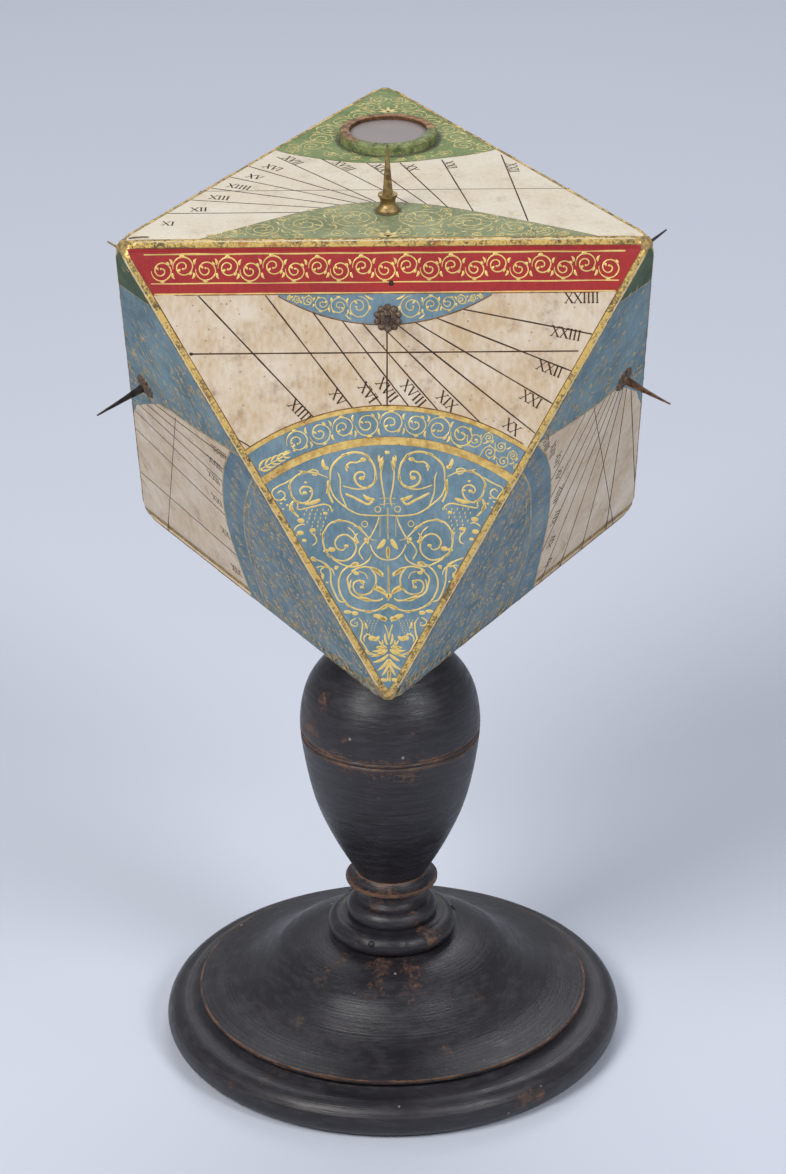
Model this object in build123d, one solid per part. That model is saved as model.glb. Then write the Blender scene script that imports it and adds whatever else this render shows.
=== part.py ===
from build123d import *
import math
import os

# Polyhedral sundial: a painted hollow octahedron that turns on a peg in a turned wooden stand.
# Millimetres, +Z up. The origin is the centre of the foot's flat underside, the front is -Y.
# In use +Y points north, and the block is set by the compass let into its top face.

os.makedirs("parts", exist_ok=True)

# Painted block
edge = 160.0
panel_thickness = 6.0
leaf_thickness = 0.6
worn_corner = 1.9
glue_block_length = 44.0
glue_block_depth = 7.0

# Gnomons of the six side faces
spike_width = 2.0
spike_tip_width = 0.35
spike_tang_radius = 1.0
spike_tang_length = 5.2
rosette_radius = 2.7
rosette_height = 1.5
rosette_plate = 0.7
rosette_dome_radius = 1.9
petal_radius = 0.95
petal_count = 8

# Gnomon of the top face
top_gnomon_height = 21.1
top_gnomon_foot_radius = 3.5
top_gnomon_foot_height = 1.5
top_gnomon_waist_radius = 2.3
top_gnomon_collar_radius = 2.95
top_gnomon_collar_top = 5.5
top_gnomon_spike_radius = 1.55
top_gnomon_tip_radius = 0.3
top_gnomon_tang_radius = 1.6
top_gnomon_tang_length = 6.2
top_gnomon_forward = 22.7
top_gnomon_aside = 1.0

# Small pin in the band at the head of the front face
band_pin_radius = 0.5
band_pin_length = 5.0
band_pin_head_radius = 0.8
band_pin_head_height = 0.45
band_pin_below_edge = 12.8
band_pin_aside = 1.9

# Compass
compass_from_corner = 52.0
compass_aside = 1.0
bowl_radius = 12.7
bowl_depth = 8.0
bowl_wall = 0.8
bowl_floor = 0.9
bowl_flange_radius = 14.2
bowl_flange_thickness = 0.7
rim_radius = 15.35
rim_height = 3.0
rim_lip = 0.6
rim_sight_radius = 12.25
glass_radius = 13.2
glass_thickness = 1.0
card_thickness = 0.4
pivot_radius = 0.6
pivot_collar_radius = 1.5
pivot_collar_height = 0.5
pivot_tip_radius = 0.08
pivot_cone_height = 1.4
pivot_tip_depth = 2.0
needle_length = 20.4
needle_width = 2.6
needle_thickness = 0.35
cap_radius = 1.5
cap_height = 1.9
cap_cone_mouth_radius = 1.0
cap_cone_end_radius = 0.12

# Peg on which the block turns
peg_radius = 5.0
peg_in_stand = 36.0
peg_in_block = 27.0
peg_chamfer = 1.0
socket_block_radius = 17.0
socket_block_height = 30.0

# Foot, two turned boards
foot_radius = 74.8
plinth_height = 13.6
plinth_seat_radius = 62.4
plinth_bead_height = 12.0
plinth_tuck = 6.3
dome_lip_radius = 63.9
dome_height = 21.9
dome_seat_radius = 19.5

# Stem between the foot and the vase
stem_height = 23.0
stem_ring_radius = 21.1
stem_ring_height = 6.6
stem_cushion_radius = 14.9
stem_waist_radius = 9.6
stem_flange_radius = 15.1
stem_cushion_below_top = 10.7
stem_waist_below_top = 7.6
stem_tenon_radius = 9.0
stem_tenon_length = 29.0
nail_count = 3
nail_first_azimuth = 251.0
nail_slope = 35.0
nail_radius = 0.5
nail_length = 16.0
nail_head_radius = 1.1
nail_head_height = 0.5

# Vase
vase_height = 82.9
vase_radius = 29.0
vase_foot_radius = 11.5
vase_top_radius = 11.0
vase_tenon_radius = 5.5
vase_tenon_length = 20.0
vase_groove_heights = (51.3, 52.9)
vase_groove_section = 0.45

# Neck that carries the block
neck_height = 24.2
neck_base_radius = 10.5
neck_waist_radius = 8.6
neck_seat_radius = 16.0
neck_seat_thickness = 3.0
neck_tenon_radius = 8.5
neck_tenon_length = 18.0

# Clearances
joint_clearance = 0.05
end_clearance = 1.0
running_fit = 0.08

# Heights on which the pieces stand
dome_seat = plinth_height
stem_seat = dome_seat + dome_height
vase_seat = stem_seat + stem_height
neck_seat = vase_seat + vase_height
block_bottom = neck_seat + neck_height

# Octahedron lying on one face
inradius = edge / math.sqrt(6)
face_circumradius = edge / math.sqrt(3)
face_inradius = face_circumradius / 2
block_centre = Vector(0, 0, block_bottom + inradius)
side_lean = math.degrees(math.asin(1 / 3))

# Azimuth and upward tilt of the outward normal of each side face
side_faces = {
    "front": (270, side_lean),
    "front_right": (330, -side_lean),
    "back_right": (30, side_lean),
    "back": (90, -side_lean),
    "back_left": (150, side_lean),
    "front_left": (210, -side_lean),
}

# Foot of each side gnomon, to the right of and above the face's centre, and its height
side_gnomons = {
    "front": (0.8, 23.1, 20.5),
    "front_right": (20.0, 32.0, 17.0),
    "back_right": (-46.7, 23.1, 20.0),
    "back": (0.0, 23.1, 18.3),
    "back_left": (46.7, 23.1, 18.0),
    "front_left": (-24.5, 28.8, 18.3),
}


def side_plane(azimuth, tilt):
    """Plane on a finished side face, X to the viewer's right and Z outward."""
    turn = math.radians(azimuth)
    level = math.cos(math.radians(tilt))
    normal = Vector(math.cos(turn) * level, math.sin(turn) * level, math.sin(math.radians(tilt)))
    right = Vector(-math.sin(turn), math.cos(turn), 0)
    return Plane(origin=block_centre + normal * inradius, x_dir=right, z_dir=normal)


def face_planes():
    """Plane of every finished face by name, its origin at the face's centre."""
    planes = {name: side_plane(*direction) for name, direction in side_faces.items()}
    planes["top"] = Plane(origin=block_centre + Vector(0, 0, inradius), x_dir=(1, 0, 0), z_dir=(0, 0, 1))
    planes["bottom"] = Plane(origin=block_centre - Vector(0, 0, inradius), x_dir=(1, 0, 0), z_dir=(0, 0, -1))
    return planes


def triangle(name, depth):
    """Section of the block under a face, at a depth below it, in that face's coordinates."""
    radius = face_circumradius * (1 - depth / inradius)
    leans_up = name in side_faces and side_faces[name][1] > 0
    first = -90 if leans_up else 90
    corners = [(radius * math.cos(math.radians(first + turn)),
                radius * math.sin(math.radians(first + turn))) for turn in (0, 120, 240)]
    return make_face(Polyline(*corners, close=True))


def mitred_board(name, plane, outer_depth, thickness):
    """Three-cornered board under a face, mitred to meet its three neighbours."""
    inner_depth = outer_depth + thickness
    outer = plane.offset(-outer_depth) * triangle(name, outer_depth)
    inner = plane.offset(-inner_depth) * triangle(name, inner_depth)
    corner_reach = edge / math.sqrt(2) - worn_corner - outer_depth
    return loft([outer, inner], ruled=True) & Pos(*block_centre) * Sphere(corner_reach)


def face_hole(plane, right, up, radius):
    """Cutter for a round hole through a leaf and its panel."""
    depth = leaf_thickness + panel_thickness + end_clearance
    hole = Pos(right, up, -depth) * Cylinder(radius, depth + end_clearance,
                                             align=(Align.CENTER, Align.CENTER, Align.MIN))
    return plane * hole


def compass_centre():
    """Centre of the compass on the top face, in that face's coordinates."""
    return compass_aside, face_circumradius - compass_from_corner


def band_pin_place():
    """Foot of the pin on the front face, in that face's coordinates."""
    return band_pin_aside, face_inradius - band_pin_below_edge


def holes_of(name, plane):
    """Cutters for everything that passes through a face."""
    if name == "top":
        return [face_hole(plane, *compass_centre(), bowl_radius + joint_clearance),
                face_hole(plane, top_gnomon_aside, -top_gnomon_forward, top_gnomon_tang_radius)]
    if name == "bottom":
        return [face_hole(plane, 0, 0, peg_radius + running_fit)]
    right, up, height = side_gnomons[name]
    cutters = [face_hole(plane, right, up, spike_tang_radius)]
    if name == "front":
        cutters.append(face_hole(plane, *band_pin_place(), band_pin_radius))
    return cutters


def block_boards(planes):
    """Panels of the hollow block and the painted leaf on each."""
    boards = {}
    for name, plane in planes.items():
        leaf = mitred_board(name, plane, 0, leaf_thickness)
        panel = mitred_board(name, plane, leaf_thickness, panel_thickness)
        for cutter in holes_of(name, plane):
            leaf = leaf - cutter
            panel = panel - cutter
        boards["leaf_" + name] = leaf
        boards["panel_" + name] = panel
    return boards


def corner_points():
    """Directions of the six corners of the block from its centre."""
    corners = []
    for level, first in ((inradius, 90), (-inradius, 30)):
        for turn in (0, 120, 240):
            angle = math.radians(first + turn)
            corners.append(Vector(face_circumradius * math.cos(angle), face_circumradius * math.sin(angle), level))
    return corners


def glue_blocks():
    """Three-cornered blocks glued inside the twelve edges, one at the middle of each."""
    inner_scale = 1 - (leaf_thickness + panel_thickness) / inradius
    half_width = glue_block_depth * math.sqrt(2)
    section = make_face(Polyline((0, 0), (-half_width, -glue_block_depth), (half_width, -glue_block_depth),
                                 close=True))
    corners = corner_points()
    blocks = []
    for index, start in enumerate(corners):
        for end in corners[index + 1:]:
            opposite = (start + end).length < edge / 10
            if opposite:
                continue
            middle = (start + end) * (inner_scale / 2)
            along = (end - start).normalized()
            place = Plane(origin=block_centre + middle, x_dir=middle.normalized().cross(along), z_dir=along)
            blocks.append(extrude(place * section, amount=glue_block_length / 2, both=True))
    return Compound(children=blocks)


def side_gnomon(plane, right, up, height):
    """Square iron spike with a round tang driven into the panel."""
    spike = loft([Rectangle(spike_width, spike_width),
                  Pos(0, 0, height) * Rectangle(spike_tip_width, spike_tip_width)], ruled=True)
    tang = Cylinder(spike_tang_radius, spike_tang_length, align=(Align.CENTER, Align.CENTER, Align.MAX))
    return plane * (Pos(right, up, 0) * (spike + tang))


def rosette(plane, right, up):
    """Petalled washer round the foot of a side gnomon."""
    plate = Cylinder(rosette_radius, rosette_plate, align=(Align.CENTER, Align.CENTER, Align.MIN))
    petal = Cylinder(petal_radius, rosette_plate, align=(Align.CENTER, Align.CENTER, Align.MIN))
    for index in range(petal_count):
        plate = plate + Rot(0, 0, index * 360 / petal_count) * Pos(rosette_radius, 0, 0) * petal
    dome_rise = rosette_height - rosette_plate
    dome_top = spike_width / math.sqrt(2) + joint_clearance
    dome = Pos(0, 0, rosette_plate) * Cone(rosette_dome_radius, dome_top, dome_rise,
                                           align=(Align.CENTER, Align.CENTER, Align.MIN))
    opening = Box(spike_width, spike_width, 2 * rosette_height)
    return plane * (Pos(right, up, 0) * (plate + dome - opening))


def turned(outline):
    """Solid of revolution about Z from a closed outline in the XZ plane."""
    return revolve(make_face(outline), Axis.Z)


def top_gnomon(plane):
    """Turned brass gnomon with an eight-sided spike and a tang through the panel."""
    foot_edge = top_gnomon_foot_radius
    collar_bottom = top_gnomon_collar_top - 0.6
    waist = (top_gnomon_waist_radius, 0, (top_gnomon_foot_height + collar_bottom) / 2)
    outline = Polyline((0, 0, -top_gnomon_tang_length), (top_gnomon_tang_radius, 0, -top_gnomon_tang_length),
                       (top_gnomon_tang_radius, 0, 0), (foot_edge, 0, 0),
                       (foot_edge, 0, top_gnomon_foot_height / 2))
    outline += Line((foot_edge, 0, top_gnomon_foot_height / 2),
                    (top_gnomon_collar_radius, 0, top_gnomon_foot_height))
    outline += ThreePointArc((top_gnomon_collar_radius, 0, top_gnomon_foot_height), waist,
                             (top_gnomon_collar_radius, 0, collar_bottom))
    outline += Polyline((top_gnomon_collar_radius, 0, collar_bottom),
                        (top_gnomon_collar_radius, 0, top_gnomon_collar_top),
                        (0, 0, top_gnomon_collar_top), (0, 0, -top_gnomon_tang_length))
    spike = loft([Pos(0, 0, top_gnomon_collar_top) * RegularPolygon(top_gnomon_spike_radius, 8),
                  Pos(0, 0, top_gnomon_height) * RegularPolygon(top_gnomon_tip_radius, 8)], ruled=True)
    return plane * (Pos(top_gnomon_aside, -top_gnomon_forward, 0) * (turned(outline) + spike))


def band_pin(plane):
    """Round-headed pin in the band of the front face."""
    shank = Cylinder(band_pin_radius, band_pin_length, align=(Align.CENTER, Align.CENTER, Align.MAX))
    head = Cone(band_pin_head_radius, band_pin_radius, band_pin_head_height,
                align=(Align.CENTER, Align.CENTER, Align.MIN))
    return plane * (Pos(*band_pin_place(), 0) * (shank + head))


def disc(radius, bottom, thickness):
    """Round plate about Z from a height up."""
    return Pos(0, 0, bottom) * Cylinder(radius, thickness, align=(Align.CENTER, Align.CENTER, Align.MIN))


def compass_parts(plane):
    """Bowl, card, pivot, needle, cap, glass, packing and rim of the compass in the top face."""
    place = plane * Pos(*compass_centre(), 0)
    floor_top = bowl_floor - bowl_depth
    card_top = floor_top + card_thickness
    glass_bottom = bowl_flange_thickness
    glass_top = glass_bottom + glass_thickness
    lip_bottom = rim_height - rim_lip
    glass_bore = glass_radius + joint_clearance
    flange_bore = bowl_flange_radius + joint_clearance
    rim_round = rim_radius - rim_lip

    bowl = disc(bowl_radius, -bowl_depth, bowl_depth) + disc(bowl_flange_radius, 0, bowl_flange_thickness)
    bowl = bowl - disc(bowl_radius - bowl_wall, floor_top, bowl_depth + bowl_flange_thickness)
    bowl = bowl - disc(pivot_radius, -bowl_depth, bowl_floor)
    card = disc(bowl_radius - bowl_wall - joint_clearance, floor_top, card_thickness)
    card = card - disc(pivot_radius, floor_top, card_thickness)

    cone_bottom = -pivot_tip_depth - pivot_cone_height
    pivot = disc(pivot_radius, -bowl_depth, bowl_depth + cone_bottom)
    pivot += disc(pivot_collar_radius, card_top, pivot_collar_height)
    pivot += Pos(0, 0, cone_bottom) * Cone(pivot_radius, pivot_tip_radius, pivot_cone_height,
                                           align=(Align.CENTER, Align.CENTER, Align.MIN))

    cap_socket_end = 2 * running_fit - pivot_tip_depth
    cap_bottom = cap_socket_end - cap_height + bowl_wall
    cap = disc(cap_radius, cap_bottom, cap_height)
    cap -= Pos(0, 0, cap_bottom) * Cone(cap_cone_mouth_radius, cap_cone_end_radius, cap_socket_end - cap_bottom,
                                        align=(Align.CENTER, Align.CENTER, Align.MIN))
    half_length = needle_length / 2
    half_width = needle_width / 2
    blade = make_face(Polyline((0, half_length), (half_width, 0), (0, -half_length), (-half_width, 0), close=True))
    hub = Circle(cap_radius + needle_thickness)
    needle = extrude(blade + hub, amount=needle_thickness) - disc(cap_radius, 0, needle_thickness)

    rim_outline = Polyline((flange_bore, 0, 0), (rim_radius, 0, 0), (rim_radius, 0, lip_bottom))
    rim_outline += Line((rim_radius, 0, lip_bottom), (rim_round, 0, rim_height))
    rim_outline += Polyline((rim_round, 0, rim_height), (rim_sight_radius, 0, rim_height),
                            (rim_sight_radius, 0, lip_bottom), (glass_bore, 0, lip_bottom),
                            (glass_bore, 0, glass_bottom), (flange_bore, 0, glass_bottom), (flange_bore, 0, 0))
    packing_inner = rim_sight_radius + joint_clearance
    packing = disc(glass_radius, glass_top, lip_bottom - glass_top) - disc(packing_inner, glass_top, rim_height)
    pieces = {
        "compass_bowl": bowl,
        "compass_card": card,
        "compass_pivot": pivot,
        "compass_needle": Pos(0, 0, cap_bottom + needle_thickness) * needle,
        "needle_cap": cap,
        "compass_glass": disc(glass_radius, glass_bottom, glass_thickness),
        "glass_packing": packing,
        "compass_rim": turned(rim_outline),
    }
    return {name: place * piece for name, piece in pieces.items()}


def peg():
    """Loose hardwood peg, standing in the neck and carrying the block."""
    length = peg_in_stand + peg_in_block
    dowel = Cylinder(peg_radius, length, align=(Align.CENTER, Align.CENTER, Align.MIN))
    dowel = chamfer(dowel.edges().filter_by(GeomType.CIRCLE), peg_chamfer)
    return Pos(0, 0, block_bottom - peg_in_stand) * dowel


def socket_block():
    """Block glued inside the bottom panel, bored for the peg."""
    bottom = block_bottom + leaf_thickness + panel_thickness
    bore_depth = peg_in_block + end_clearance
    body = disc(socket_block_radius, bottom, socket_block_height)
    return body - disc(peg_radius + running_fit, block_bottom, bore_depth)


def tenon(radius, length):
    """Round tenon reaching down from a shoulder at zero."""
    return Cylinder(radius, length, align=(Align.CENTER, Align.CENTER, Align.MAX))


def mortise(radius, length, shoulder):
    """Cutter for the hole that takes a tenon whose shoulder is at a height."""
    return Pos(0, 0, shoulder) * tenon(radius + joint_clearance, length + end_clearance)


def foot_plinth():
    """Lower board of the foot, with a half-round edge and a hollow inside it."""
    floor_edge = (foot_radius - plinth_tuck, 0, 0)
    bead_top = (foot_radius - plinth_tuck, 0, plinth_bead_height)
    seat_edge = (plinth_seat_radius, 0, plinth_height)
    hollow = (plinth_seat_radius + 2.4, 0, plinth_bead_height - 1.3)
    outline = Polyline(seat_edge, (0, 0, plinth_height), (0, 0, 0), floor_edge)
    outline += ThreePointArc(floor_edge, (foot_radius, 0, plinth_bead_height / 2), bead_top)
    outline += ThreePointArc(bead_top, hollow, seat_edge)
    return turned(outline) - mortise(stem_tenon_radius, stem_tenon_length, stem_seat)


def foot_dome():
    """Upper board of the foot, an ogee that runs out to a thin lip."""
    run = dome_lip_radius - dome_seat_radius
    lip_height = 2.3
    lip_edge = (dome_lip_radius, 0, lip_height)
    seat_edge = (dome_seat_radius, 0, dome_height)
    rise = dome_height - lip_height
    shape = ((0.19, 0.91), (0.37, 0.73), (0.53, 0.43), (0.71, 0.17))
    middle = [(dome_seat_radius + share * run, 0, lip_height + height * rise) for share, height in shape]
    outline = Spline(seat_edge, *middle, lip_edge)
    outline += Polyline(lip_edge, (dome_lip_radius - 0.2, 0, lip_height - 1.2), (plinth_seat_radius - 0.6, 0, 0),
                        (0, 0, 0), (0, 0, dome_height), seat_edge)
    board = Pos(0, 0, dome_seat) * turned(outline)
    return board - mortise(stem_tenon_radius, stem_tenon_length, stem_seat) - Compound(children=nails())


def stem():
    """Turned stem: ring, cushion, waist and thin flange, with a tenon down into the foot."""
    ring_start = (stem_ring_radius - 2.6, 0, 0)
    ring_end = (stem_ring_radius - 4.5, 0, stem_ring_height)
    cushion_start = (stem_cushion_radius - 0.6, 0, stem_ring_height + 0.3)
    cushion_end = (stem_cushion_radius - 3.5, 0, stem_height - stem_cushion_below_top)
    flange_under = (stem_flange_radius - 0.5, 0, stem_height - 3.8)
    flange_low = (stem_flange_radius, 0, stem_height - 3.2)
    flange_high = (stem_flange_radius, 0, stem_height - 2.4)
    top_edge = (vase_foot_radius, 0, stem_height)
    outline = Polyline((0, 0, stem_height), (0, 0, 0), ring_start)
    outline += ThreePointArc(ring_start, (stem_ring_radius, 0, stem_ring_height / 2), ring_end)
    outline += Line(ring_end, cushion_start)
    outline += ThreePointArc(cushion_start, (stem_cushion_radius, 0, stem_ring_height + 2.2), cushion_end)
    outline += ThreePointArc(cushion_end, (stem_waist_radius, 0, stem_height - stem_waist_below_top), flange_under)
    outline += Polyline(flange_under, flange_low, flange_high)
    outline += ThreePointArc(flange_high, (stem_flange_radius - 2.0, 0, stem_height - 1.7), top_edge)
    outline += Line(top_edge, (0, 0, stem_height))
    body = turned(outline) + tenon(stem_tenon_radius, stem_tenon_length)
    body = Pos(0, 0, stem_seat) * body
    return body - mortise(vase_tenon_radius, vase_tenon_length, vase_seat) - Compound(children=nails())


def nails():
    """Iron nails driven through the stem's ring into the foot."""
    section_radius = stem_ring_height / 2
    ring_centre = stem_ring_radius - section_radius
    nail = tenon(nail_radius, nail_length)
    nail += Pos(0, 0, -nail_head_height) * Cylinder(nail_head_radius, nail_head_height,
                                                    align=(Align.CENTER, Align.CENTER, Align.MIN))
    placed = Pos(ring_centre, 0, stem_seat + section_radius) * Rot(0, 90 - nail_slope, 0)
    placed = placed * Pos(0, 0, section_radius)
    return [Rot(0, 0, nail_first_azimuth + index * 360 / nail_count) * placed * nail
            for index in range(nail_count)]


def radius_at(outline, height):
    """Radius of a rising outline at a height."""
    low, high = 0.0, 1.0
    for _ in range(40):
        middle = (low + high) / 2
        if (outline @ middle).Z < height:
            low = middle
        else:
            high = middle
    return (outline @ low).X


def vase():
    """Turned vase with two fine grooves, a tenon below and a mortise for the neck above."""
    foot_edge = (vase_foot_radius, 0, 0)
    top_edge = (vase_top_radius, 0, vase_height)
    shape = ((0.65, 0.162), (0.853, 0.338), (0.976, 0.548), (1.0, 0.69), (0.909, 0.824), (0.682, 0.928))
    middle = [(share * vase_radius, 0, height * vase_height) for share, height in shape]
    side = Spline(foot_edge, *middle, top_edge)
    outline = side + Polyline(top_edge, (0, 0, vase_height), (0, 0, 0), foot_edge)
    body = turned(outline) + tenon(vase_tenon_radius, vase_tenon_length)
    for height in vase_groove_heights:
        body -= Pos(0, 0, height) * Torus(radius_at(side, height), vase_groove_section)
    return Pos(0, 0, vase_seat) * body - mortise(neck_tenon_radius, neck_tenon_length, neck_seat)


def neck():
    """Turned neck under the block, bored for the peg."""
    base_edge = (neck_base_radius, 0, 0)
    under_seat = (neck_seat_radius, 0, neck_height - neck_seat_thickness)
    outline = Polyline((0, 0, neck_height), (0, 0, 0), base_edge)
    outline += ThreePointArc(base_edge, (neck_waist_radius, 0, neck_height * 0.45), under_seat)
    outline += Polyline(under_seat, (neck_seat_radius, 0, neck_height), (0, 0, neck_height))
    body = turned(outline) + tenon(neck_tenon_radius, neck_tenon_length)
    bore = disc(peg_radius + running_fit, neck_height - peg_in_stand, peg_in_stand)
    return Pos(0, 0, neck_seat) * (body - bore)


def all_nodes():
    """Every piece of the sundial by its name."""
    planes = face_planes()
    nodes = {
        "foot_plinth": foot_plinth(),
        "foot_dome": foot_dome(),
        "stem": stem(),
        "stem_nails": Compound(children=nails()),
        "vase": vase(),
        "neck": neck(),
        "swivel_peg": peg(),
        "socket_block": socket_block(),
        "glue_blocks": glue_blocks(),
        "gnomon_top": top_gnomon(planes["top"]),
        "band_pin": band_pin(planes["front"]),
    }
    nodes.update(block_boards(planes))
    nodes.update(compass_parts(planes["top"]))
    for name, (right, up, height) in side_gnomons.items():
        nodes["gnomon_" + name] = side_gnomon(planes[name], right, up, height)
        nodes["rosette_" + name] = rosette(planes[name], right, up)
    return nodes


for node, shape in all_nodes().items():
    export_step(shape, "parts/" + node + ".step")
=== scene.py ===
import math
import random

import bmesh
import bpy
from mathutils import Matrix, Vector, noise
from mathutils.geometry import tessellate_polygon


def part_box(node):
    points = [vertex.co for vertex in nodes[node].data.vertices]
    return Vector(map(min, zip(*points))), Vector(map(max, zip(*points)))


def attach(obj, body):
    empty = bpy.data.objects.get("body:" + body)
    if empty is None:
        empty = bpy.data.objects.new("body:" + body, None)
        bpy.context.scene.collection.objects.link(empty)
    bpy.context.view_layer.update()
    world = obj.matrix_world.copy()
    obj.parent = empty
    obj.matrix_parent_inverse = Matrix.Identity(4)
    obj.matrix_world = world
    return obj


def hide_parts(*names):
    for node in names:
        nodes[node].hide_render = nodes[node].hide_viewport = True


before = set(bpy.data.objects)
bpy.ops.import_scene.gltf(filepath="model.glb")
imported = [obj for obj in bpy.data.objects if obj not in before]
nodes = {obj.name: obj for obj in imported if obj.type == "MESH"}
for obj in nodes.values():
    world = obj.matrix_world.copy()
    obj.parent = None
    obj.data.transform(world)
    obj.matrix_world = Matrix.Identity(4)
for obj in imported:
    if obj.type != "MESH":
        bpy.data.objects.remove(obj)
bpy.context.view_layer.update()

# Painted octahedral sundial on a turned, ebonised stand.
# The block is eight painted faces round a compass; every dial has its own gnomon.
# Faces are drawn in millimetres, to the right of and above the centre of each face.

bl_info = {
    "name": "Painted Octahedral Sundial",
    "version": (1, 0, 0),
    "blender": (4, 5, 0),
    "location": "View3D > Sidebar > Sundial",
    "description": "Paints the dials of an octahedral sundial and finishes its turned stand",
    "category": "Object",
}

MM = 0.001

# The block's size, read from the painted leaves of its top and bottom
block_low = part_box("leaf_bottom")[0].z
block_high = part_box("leaf_top")[1].z
block_centre = Vector((0, 0, (block_low + block_high) / 2))
inradius = (block_high - block_low) / 2
edge = inradius * math.sqrt(6)
face_circumradius = edge / math.sqrt(3) / MM
face_inradius = face_circumradius / 2

# Azimuth of each side face's outward normal, and whether the face looks up
side_faces = {
    "front": (270, True),
    "front_right": (330, False),
    "back_right": (30, True),
    "back": (90, False),
    "back_left": (150, True),
    "front_left": (210, False),
}

# Foot of each iron gnomon, to the right of and above the face's centre, and its height
side_gnomons = {
    "front": (0.8, 23.1, 20.5),
    "front_right": (20.0, 32.0, 17.0),
    "back_right": (-46.7, 23.1, 20.0),
    "back": (0.0, 23.1, 18.3),
    "back_left": (46.7, 23.1, 18.0),
    "front_left": (-24.5, 28.8, 18.3),
}

# Latitude of the dial and tilt of the sun's path
latitude = math.radians(43.77)
obliquity = math.radians(23.44)

# Distance from the block's centre at which its worn corners begin, and how far they reach past it
worn_from = 107.0
worn_reach = 3.9

# Places on the top face of the compass and of the brass gnomon, and the radii of the holes in the block
compass_place = (1.0, 40.38)
brass_place = (1.0, -22.7)
compass_hole = 12.9
peg_hole = 5.08


def srgb(red, green, blue):
    """Linear colour of a display colour given from 0 to 255."""
    shares = [value / 255 for value in (red, green, blue)]
    return tuple(s / 12.92 if s <= 0.04045 else ((s + 0.055) / 1.055) ** 2.4 for s in shares)


# Shapes in the plane

def polar(u, v, radius, degrees):
    """Place at a distance and in a direction from another."""
    turn = math.radians(degrees)
    return u + radius * math.cos(turn), v + radius * math.sin(turn)


def direction(a, b):
    """Direction from one place to another, in degrees."""
    return math.degrees(math.atan2(b[1] - a[1], b[0] - a[0]))


def in_between(a, b, count):
    """Even places from one to another, both included."""
    return [(a[0] + (b[0] - a[0]) * i / count, a[1] + (b[1] - a[1]) * i / count) for i in range(count + 1)]


def sides_of(outline):
    """Pairs of neighbouring points round a closed outline."""
    return zip(outline, outline[1:] + outline[:1])


def smooth_path(points, step=0.7):
    """Even points on a smooth curve through the given points."""
    if len(points) < 3:
        return list(points)
    path = []
    for index in range(len(points) - 1):
        p0 = Vector(points[max(index - 1, 0)])
        p1 = Vector(points[index])
        p2 = Vector(points[index + 1])
        p3 = Vector(points[min(index + 2, len(points) - 1)])
        count = max(1, int((p2 - p1).length / step))
        for part in range(count):
            t = part / count
            spot = 0.5 * (2 * p1 + (p2 - p0) * t + (2 * p0 - 5 * p1 + 4 * p2 - p3) * t * t
                          + (3 * p1 - p0 - 3 * p2 + p3) * t ** 3)
            path.append(tuple(spot))
    path.append(tuple(points[-1]))
    return path


def arc_points(u, v, radius, first, last, step=1.0):
    """Points of an arc, from one angle to another in degrees."""
    count = max(3, int(abs(math.radians(last - first)) * radius / step))
    return [polar(u, v, radius, first + (last - first) * i / count) for i in range(count + 1)]


def coil(u, v, radius, first, turns, inner=0.25):
    """Spiral inwards from a radius; turns below zero run clockwise."""
    count = max(8, int(abs(turns) * 20))
    points = []
    for index in range(count + 1):
        share = index / count
        reach = radius * (1 - share) + radius * inner * share
        points.append(polar(u, v, reach, first + 360 * turns * share))
    return points


def trimmed(outline, limit):
    """Part of an outline inside a convex one, both as lists of points."""
    area = sum(a[0] * b[1] - a[1] * b[0] for a, b in sides_of(limit))
    turn = 1 if area > 0 else -1
    kept = list(outline)
    for a, b in sides_of(limit):
        def side(p):
            return turn * ((b[0] - a[0]) * (p[1] - a[1]) - (b[1] - a[1]) * (p[0] - a[0]))
        source = kept
        kept = []
        for p, q in sides_of(source):
            from_line, to_line = side(p), side(q)
            if from_line >= 0:
                kept.append(p)
            if from_line * to_line < 0:
                t = from_line / (from_line - to_line)
                kept.append((p[0] + (q[0] - p[0]) * t, p[1] + (q[1] - p[1]) * t))
    return kept


def holds(outline, u, v):
    """Whether a point lies inside an outline."""
    inside = False
    for a, b in sides_of(outline):
        if (a[1] > v) != (b[1] > v) and u < a[0] + (v - a[1]) / (b[1] - a[1]) * (b[0] - a[0]):
            inside = not inside
    return inside


def in_line(outline, spacing=1.2):
    """The same outline with more points on its long sides."""
    fuller = []
    for a, b in sides_of(outline):
        fuller += in_between(a, b, max(1, int(math.dist(a, b) / spacing)))[:-1]
    return fuller


def closed_arc(u, v, outer, inner, first=20, last=160):
    """Outline of a band between two radii."""
    return arc_points(u, v, outer, first, last) + arc_points(u, v, inner, last, first)


def below_arc(u, v, radius, first=20, last=160):
    """Outline of all that lies below an arc."""
    return arc_points(u, v, radius, first, last) + [(-80, -120), (80, -120)]


def level_band(low, high):
    """Wide strip between two levels."""
    return [(-150, low), (150, low), (150, high), (-150, high)]


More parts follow.
